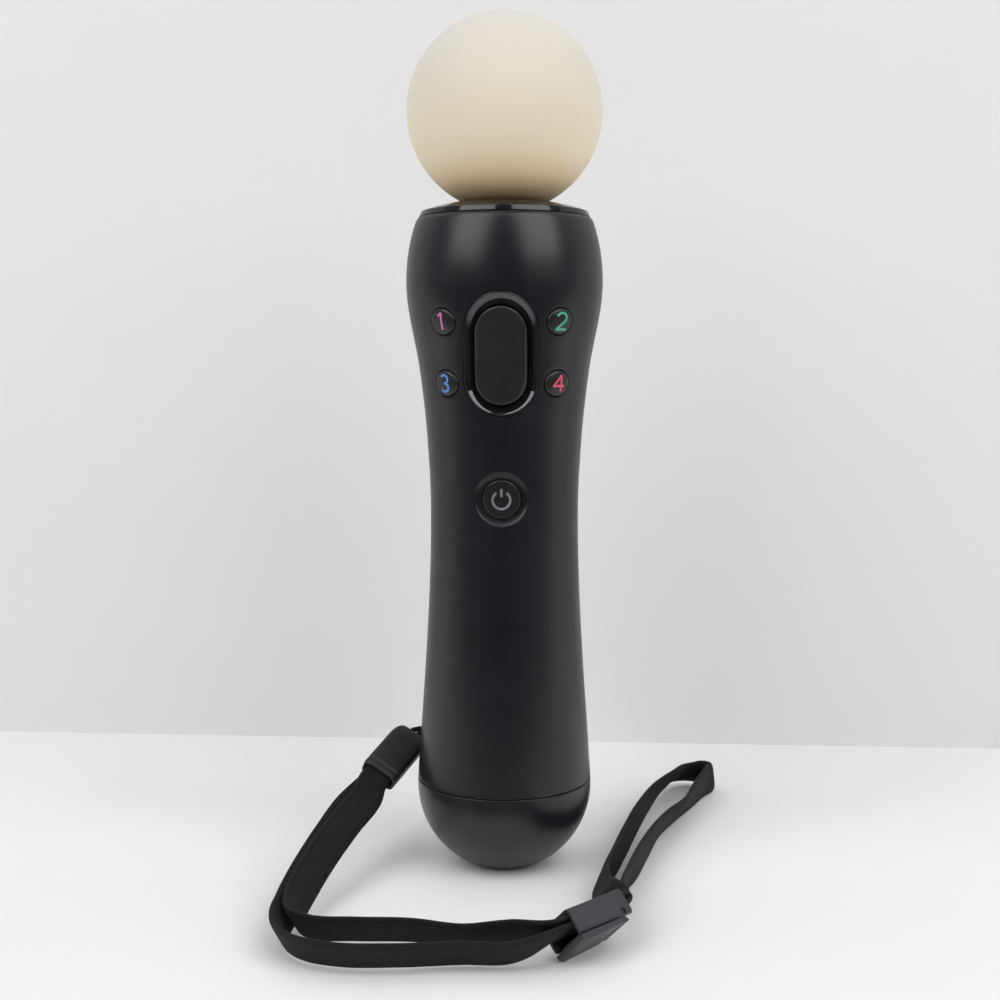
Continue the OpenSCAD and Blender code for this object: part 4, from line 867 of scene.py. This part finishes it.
def end_cap():
    b = Build()
    tall = CAP_DOME_Z / math.sqrt(1 - (CAP_BASE / CAP_R) ** 2)
    low = math.asin(CAP_DOME_Z / tall)
    prof = [(CAP_FLAT, 0.0)]
    dome = [(CAP_R * math.cos(low * (1 - k)), CAP_DOME_Z - tall * math.sin(low * (1 - k)))
            for k in np.linspace(0.0, 1, 60)]
    q0, q1, q2 = np.array([CAP_FLAT, 0.0]), np.array([CAP_BASE, 0.0]), np.array(dome[1])
    for k in np.linspace(0.2, 1, 5):
        prof.append(tuple((1 - k) ** 2 * q0 + 2 * k * (1 - k) * q1 + k * k * q2))
    prof += dome[2:]
    prof += [(CAP_R, z) for z in np.linspace(19.5, CAP_TOP, 5)]
    prof += [(CAP_R - CAP_EDGE * (1 - math.cos(t)), CAP_TOP + CAP_EDGE * math.sin(t))
             for t in np.linspace(0.3, QUARTER, 5)]
    prof += [(19.2, SEAM_Z), (18.9, 21.05), (18.9, 22.4)]
    b.lathe(prof, 224)

    def below(u, v, g):
        return np.stack([u, -np.asarray(v), np.zeros(len(u)) - g], -1)

    def cut(outline):
        return {"uv": outline, "at": lambda e, g: below(*outline(e).T, g),
                "rings": fillet(0.2) + [(0.0, -CAP_WALL)], "floor": False}

    holes = [cut(rounded_box(*box, (0.3,) * 4, 4)) for box in SOCKETS]
    holes += [cut(circle(CONTACT_R, 28, (s * CONTACT_X, 0.0))) for s in (-1, 1)]
    b.skin(below, circle(CAP_FLAT, 112)(0.0), holes, 0.8)
    return b.object("end_cap_dome", M_CAP, nodes=("end_cap",))


end_cap()

# Orb and collar
ORB_R, ORB_Z, ORB_TIP, NECK_R, NECK_Z, NECK_TOP = 22.64, 178.08, 0.012, 9.4, 153.0, 156.4


def orb():
    b = Build()
    low = math.asin(NECK_R / ORB_R)
    prof = [(NECK_R, NECK_Z), (NECK_R, NECK_TOP)]
    for t in low + (math.pi - low - ORB_TIP) * np.linspace(0, 1, 110):
        prof.append((ORB_R * math.sin(t), ORB_Z - ORB_R * math.cos(t)))
    b.fan(b.lathe(prof, 200)[-1], (0, 0, prof[-1][1]))
    return b.object("light_orb_skin", M_ORB, nodes=("light_orb",))


COLLAR_R, COLLAR_HOLE, COLLAR_TOP, COLLAR_BEND = 20.0, 9.68, 157.6, 0.35
SKIRT_R, SKIRT_Z, FLANK = 18.8, 150.4, 1.12
STEEP, LOW_SLOPE = math.radians(22), math.radians(72)


def collar():
    """A ring with a steep flank at its foot and a low cone up to the ball."""
    b = Build()
    foot = RIM_Z + 0.01
    prof = [(SKIRT_R, SKIRT_Z), (SKIRT_R, foot), (COLLAR_R - 0.16, foot),
            (COLLAR_R - 0.03, RIM_Z + 0.08)]
    prof += [(COLLAR_R - math.tan(STEEP) * h, RIM_Z + h) for h in np.linspace(0.16, FLANK, 6)]
    r, z = prof[-1]
    r, z = r - COLLAR_BEND * math.cos(STEEP), z - COLLAR_BEND * math.sin(STEEP)
    prof += [(r + COLLAR_BEND * math.cos(a), z + COLLAR_BEND * math.sin(a))
             for a in np.linspace(STEEP, LOW_SLOPE, 8)[1:]]
    r, z = prof[-1]
    for k in np.linspace(0.06, 1, 22):
        prof.append((r + (COLLAR_HOLE + 0.15 - r) * k,
                     z + (COLLAR_TOP - 0.03 - z) * k * (1.45 - 0.45 * k)))
    prof += [(COLLAR_HOLE + 0.04, COLLAR_TOP - 0.08), (COLLAR_HOLE, COLLAR_TOP - 0.2),
             (COLLAR_HOLE, 153.5)]
    b.lathe(prof, 200)
    return b.object("orb_collar_ring", M_COLLAR, nodes=("orb_collar",))


orb()
collar()

# Thumb controls. The bezel's profile: share of the way in from its outer edge, height off the skin
BEZEL_PROFILE = [(0.0, -1.6), (0.0, 0.12), (0.01, 0.21), (0.03, 0.27), (0.05, 0.29), (0.08, 0.28),
                 (0.12, 0.24), (0.2, 0.11), (0.35, -0.14), (0.5, -0.39), (0.65, -0.63),
                 (0.8, -0.87), (0.93, -1.07), (0.98, -1.2), (1.0, -1.35), (1.0, -1.75)]


def bezel():
    b = Build()
    outer = pill(BEZEL_W, BEZEL_H)(0.0)
    inner = pill(OPEN_W, OPEN_H)(0.0) + np.array([0.0, OVAL_Z - BEZEL_Z])
    b.stack([radial(0.0, BEZEL_Z, *(outer + (inner - outer) * s).T, g) for s, g in BEZEL_PROFILE])
    return b.object("oval_bezel_ring", M_GLOSS, nodes=("oval_bezel",))


def key(name, mat, phi, z0, outline, top, round_e, depth, dome=0.0, rows=9):
    """A button: its wall, a rounded edge and a top that follows the handle, domed or dished."""
    b = Build()
    steps = [(0.0, -depth), (0.0, top - round_e)]
    steps += [(-round_e * (1 - math.cos(t)), top - round_e + round_e * math.sin(t))
              for t in np.linspace(0.25, QUARTER, 7)]
    rings = [radial(phi, z0, *outline(e).T, g) for e, g in steps]
    face = outline(-round_e)
    for k in np.linspace(1, 0, rows + 1)[1:-1]:
        rings.append(radial(phi, z0, *(face * k).T, top + dome * (1 - k * k)))
    b.fan(b.stack(rings)[-1], radial(phi, z0, np.zeros(1), np.zeros(1), top + dome)[0])
    return b.object(name + "_cap", mat, body=BODY_OF[name], nodes=(name,))


bezel()
key("oval_button", M_OVAL, 0.0, OVAL_Z, pill(OVAL_W, OVAL_H), top=0.8, round_e=0.65, depth=3.4,
    dome=-0.22)
for name, p, z in SMALL:
    key(name, M_BUTTON, p, z, ellipse(SMALL_RX, SMALL_RY), SMALL_TOP, SMALL_ROUND, depth=2.6,
        dome=SMALL_DOME)
key("home_button", M_BUTTON, 0.0, HOME_Z, circle(HOME_R, 72), HOME_TOP, HOME_ROUND, depth=2.8,
    dome=HOME_DOME)
for name, side in (("start_button", 1), ("select_button", -1)):
    key(name, M_BUTTON, side * QUARTER, SIDE_Z, pill(SIDE_WD, SIDE_L, 16, 8), top=0.03,
        round_e=0.2, depth=2.6)


def arc(cx, cy, r, a0, a1, n=28):
    turn = np.radians(np.linspace(a0, a1, n))
    return [(cx + r * math.cos(a), cy + r * math.sin(a)) for a in turn]


def drawn(points, step=0.08):
    p = np.array(points, float)
    s = np.concatenate([[0], np.cumsum(np.linalg.norm(np.diff(p, axis=0), axis=1))])
    at = np.linspace(0, s[-1], max(3, int(s[-1] / step)))
    return np.stack([np.interp(at, s, p[:, 0]), np.interp(at, s, p[:, 1])], 1)


DIGIT_WIDE, DIGIT_LINE, POWER_LINE = 1.15, 0.26, 0.27
DIGITS = {
    "button_1": [[(-0.66, 1.2), (0.2, 1.86)], [(0.2, 1.86), (0.2, -1.86)]],
    "button_2": [arc(0.0, 0.78, 1.08, 165, -38), [(0.85, 0.11), (-1.12, -1.8)],
                 [(-1.2, -1.8), (1.24, -1.8)]],
    "button_3": [arc(-0.08, 0.9, 0.93, 150, -90), arc(-0.08, -0.9, 0.96, 90, -150)],
    "button_4": [[(0.58, -1.86), (0.58, 1.86)], [(0.58, 1.86), (-1.26, -0.56)],
                 [(-1.32, -0.58), (1.4, -0.58)]],
}
INKS = {"button_1": (0.62, 0.16, 0.36), "button_2": (0.05, 0.42, 0.27),
        "button_3": (0.10, 0.24, 0.66), "button_4": (0.66, 0.08, 0.14)}


def mark(name, strokes, color, phi, z0, top, dome, edge, half):
    """Lines printed on a button's face, each a hair above the last."""
    b = Build()
    for i, stroke in enumerate(strokes):
        def place(a, c, lift=0.012 + 0.002 * i):
            rho2 = (a / edge[0]) ** 2 + (c / edge[1]) ** 2
            return radial(phi, z0, a, c, top + dome * (1 - rho2) + lift)
        b.strip(drawn(stroke), half, place)
    return b.object(name + "_mark", color, body=BODY_OF[name])


FACE = (SMALL_RX - SMALL_ROUND, SMALL_RY - SMALL_ROUND)
for name, p, z in SMALL:
    strokes = [[(DIGIT_WIDE * a, b) for a, b in stroke] for stroke in DIGITS[name]]
    color = ink(name + "_ink", INKS[name])
    mark(name, strokes, color, p, z, SMALL_TOP, SMALL_DOME, FACE, DIGIT_LINE)
power = [arc(0.0, -0.2, 2.0, 125, 415, 70), [(0.0, 0.5), (0.0, 2.4)]]
mark("home_button", power, ink("home_ink", (0.17, 0.175, 0.19)), 0.0, HOME_Z, HOME_TOP, HOME_DOME,
     (HOME_R - HOME_ROUND,) * 2, POWER_LINE)

# Trigger
TRIG_REACH, TRIG_TIP, TRIG_EDGE, TRIG_BACK = 6.0, 4.0, 0.7, 15.95


def trigger_r(z):
    z = np.asarray(z, float)
    t = (TRIG_Z1 - z) / (TRIG_Z1 - TRIG_Z0)
    s = np.clip(1 - (z - TRIG_Z0) / TRIG_TIP, 0, 1)
    return body_r(z) + TRIG_REACH * hermite(t, 0, 1, 0, 0.5) - TRIG_TIP * (1 - np.sqrt(1 - s * s))


def trigger():
    b = Build()
    half = TRIG_W / 2 - TRIG_EDGE
    outline = rounded_box(-half, half, TRIG_Z0 + TRIG_EDGE, TRIG_Z1 - TRIG_EDGE,
                          (4.3, 0.4, 0.4, 4.3))(0.0)

    def place(u, v, g):
        y = np.sqrt((trigger_r(v) + g) ** 2 - np.asarray(u) ** 2)
        return np.stack([-np.asarray(u), y, np.asarray(v)], -1)

    b.skin(place, outline, (), 0.7, bend(TRIG_EDGE, 7, 0.2))
    last = np.arange(len(b.v) - len(outline), len(b.v))
    pts = np.array([b.v[i] for i in last])
    pts[:, 1] = TRIG_BACK
    b.flare(last, b.add(pts))
    return b.object("trigger_pad", M_TRIGGER, body=BODY_OF["trigger"], nodes=("trigger",))


trigger()

# Pieces that keep their construction mesh
M_DARK = metal("screw_black", (0.09, 0.09, 0.10), 0.4)
BY_SLOT = {
    "board_green": plastic("solder_mask", (0.02, 0.12, 0.055), 0.35, 0.3, 1400.0, 0.08),
    "chip_black": plastic("chip_epoxy", (0.015, 0.015, 0.016), 0.5),
    "frame_grey": plastic("frame_moulding", (0.06, 0.06, 0.068), 0.5, grain=1800.0),
    "keypad_grey": plastic("keypad_rubber", (0.08, 0.08, 0.09), 0.7, grain=1500.0, bump=0.15),
    "led_white": plastic("led_housing", (0.75, 0.72, 0.62), 0.3, 0.06),
    "clear_guide": plastic("guide_acrylic", (0.7, 0.74, 0.77), 0.12, 0.05, bump=0.02),
    "battery_blue": plastic("battery_wrap", (0.03, 0.10, 0.26), 0.32, 0.2, 700.0, 0.08),
    "switch_grey": plastic("switch_body", (0.10, 0.10, 0.11), 0.45),
    "ribbon_amber": plastic("ribbon_film", (0.35, 0.16, 0.03), 0.3, grain=600.0, bump=0.05),
    "contact_gold": metal("contact_gold", (0.75, 0.52, 0.2), 0.25),
    "weight_grey": metal("weight_sinter", (0.25, 0.25, 0.26), 0.55, (300.0, 300.0, 300.0)),
    "screw_black": M_DARK,
    "steel": M_STEEL,
    "lock_grey": M_LOCK,
}
for node, o in frame["nodes"].items():
    if o.hide_render:
        continue
    o.data.materials.clear()
    o.data.materials.append(M_DARK if node == "lock_pin" else BY_SLOT[SLOT_OF[node]])


# Stage: a pale table and a pale wall, the wall clear from behind
def stage_mat(name, base, rough):
    m = Mat(name)
    m.color(m.mottled(m.noise(6.0, 5.0), times(base, 0.985, 1.01)))
    m.rough(m.span(m.noise(20.0), rough * 0.9, rough))
    m.bump(m.noise(400.0), 0.03, 0.0003)
    m.set(Specular_IOR_Level=0.2)
    return m


def dim_for_gloss(m, shade, share=None):
    """Lets reflections see a surface darker, all over or by a share."""
    glossy = ray_is(m.tree, "Glossy")
    mix = m.nodes.new("ShaderNodeMix")
    mix.data_type = "RGBA"
    pale = m.bsdf.inputs["Base Color"].links[0].from_socket
    if share is not None:
        glossy = m.math("MULTIPLY", share, glossy)
    m.links.new(glossy, mix.inputs["Factor"])
    m.links.new(pale, mix.inputs[6])
    mix.inputs[7].default_value = (shade, shade, shade, 1.0)
    m.color(mix.outputs[2])


def sheet(name, corners, mat):
    me = bpy.data.meshes.new(name)
    me.from_pydata(corners, [], [(0, 1, 2, 3)])
    me.materials.append(mat)
    o = bpy.data.objects.new(name, me)
    scene.collection.objects.link(o)
    return o


ROOM_FRONT, ROOM_LIGHT, ROOM_SEEN = 0.04, 0.3, 0.8
ROOM_COLOR = (0.93, 0.96, 1.0)
STAGE, WALL_HIGH, WALL_Y, WALL_TURN, FLOOR_Z = 3, 2.5, 0.106, math.radians(CAM_YAW - 3.7), -0.0002

floor_mat = stage_mat("table_white", (0.86, 0.853, 0.845), 0.6)
# Painted shade in reflections: glossy rays see the table nearly black from a little in front of the
# wand, while the camera sees it white.
depth = split(floor_mat.tree, floor_mat.place)["Y"]
dim_for_gloss(floor_mat, 0.03, smooth(floor_mat.tree, depth, -0.2, -0.09, 1.0, 0.0))
# The camera sees the table run into the pale room where the panels no longer reach it.
away = floor_mat.nodes.new("ShaderNodeVectorMath")
away.operation = "LENGTH"
floor_mat.links.new(floor_mat.place, away.inputs[0])
far_off = smooth(floor_mat.tree, away.outputs["Value"], 0.45, 1.3)
glow = floor_mat.nodes.new("ShaderNodeEmission")
glow.inputs["Color"].default_value = (*ROOM_COLOR, 1.0)
glow.inputs["Strength"].default_value = ROOM_SEEN
floor_mat.cover(floor_mat.math("MULTIPLY", far_off, ray_is(floor_mat.tree, "Camera")),
                glow.outputs["Emission"])
sheet("table", [(x * STAGE, y * STAGE, FLOOR_Z) for x, y in ((-1, -1), (1, -1), (1, 1), (-1, 1))],
      floor_mat.mat)

wall_mat = stage_mat("wall_white", (0.785, 0.79, 0.79), 0.8)
# Painted shade in reflections: glossy rays see the wall darker than the camera does, which dims the
# wand's edge reflections.
dim_for_gloss(wall_mat, 0.56)
wall_mat.cover(wall_mat.nodes.new("ShaderNodeNewGeometry").outputs["Backfacing"],
               wall_mat.nodes.new("ShaderNodeBsdfTransparent").outputs["BSDF"])
run_x, run_y = STAGE * math.cos(WALL_TURN), STAGE * math.sin(WALL_TURN)
sheet("wall", [(s * run_x, WALL_Y + s * run_y, z)
               for s, z in ((-1, FLOOR_Z), (1, FLOOR_Z), (1, WALL_HIGH), (-1, WALL_HIGH))],
      wall_mat.mat)

# Light: two soft panels high in front
PANEL_FAR, PANEL_HIGH, PANEL_TALL, PANEL_AIM = 1.0345, 1.018, 1.32, (0, 0, 0.15)
for name, turn, width, watts in (("panel_left", -44, 0.98, 11.0), ("panel_right", 48, 1.06, 11.9)):
    panel = bpy.data.lights.new(name, "AREA")
    panel.shape = "RECTANGLE"
    panel.size, panel.size_y = width, PANEL_TALL
    panel.energy = watts
    panel.color = (1.0, 0.995, 0.99)
    o = bpy.data.objects.new(name, panel)
    scene.collection.objects.link(o)
    turn = math.radians(turn)
    o.location = (PANEL_FAR * math.sin(turn), -PANEL_FAR * math.cos(turn), PANEL_HIGH)
    o.rotation_euler = (Vector(PANEL_AIM) - o.location).to_track_quat("-Z", "Y").to_euler()

# The room is dim behind the camera, and pale where the camera sees it.
world = bpy.data.worlds.new("room")
scene.world = world
world.use_nodes = True
room = world.node_tree
sky = next(n for n in room.nodes if n.type == "BACKGROUND")
toward = room.nodes.new("ShaderNodeTexCoord").outputs["Generated"]
seen = room.nodes.new("ShaderNodeMix")
room.links.new(ray_is(room, "Camera"), seen.inputs["Factor"])
room.links.new(smooth(room, split(room, toward)["Y"], -0.9, -0.2, ROOM_FRONT, ROOM_LIGHT),
               seen.inputs["A"])
seen.inputs["B"].default_value = ROOM_SEEN
room.links.new(seen.outputs["Result"], sky.inputs["Strength"])
sky.inputs["Color"].default_value = (*ROOM_COLOR, 1.0)
scene.view_settings.view_transform = "Standard"
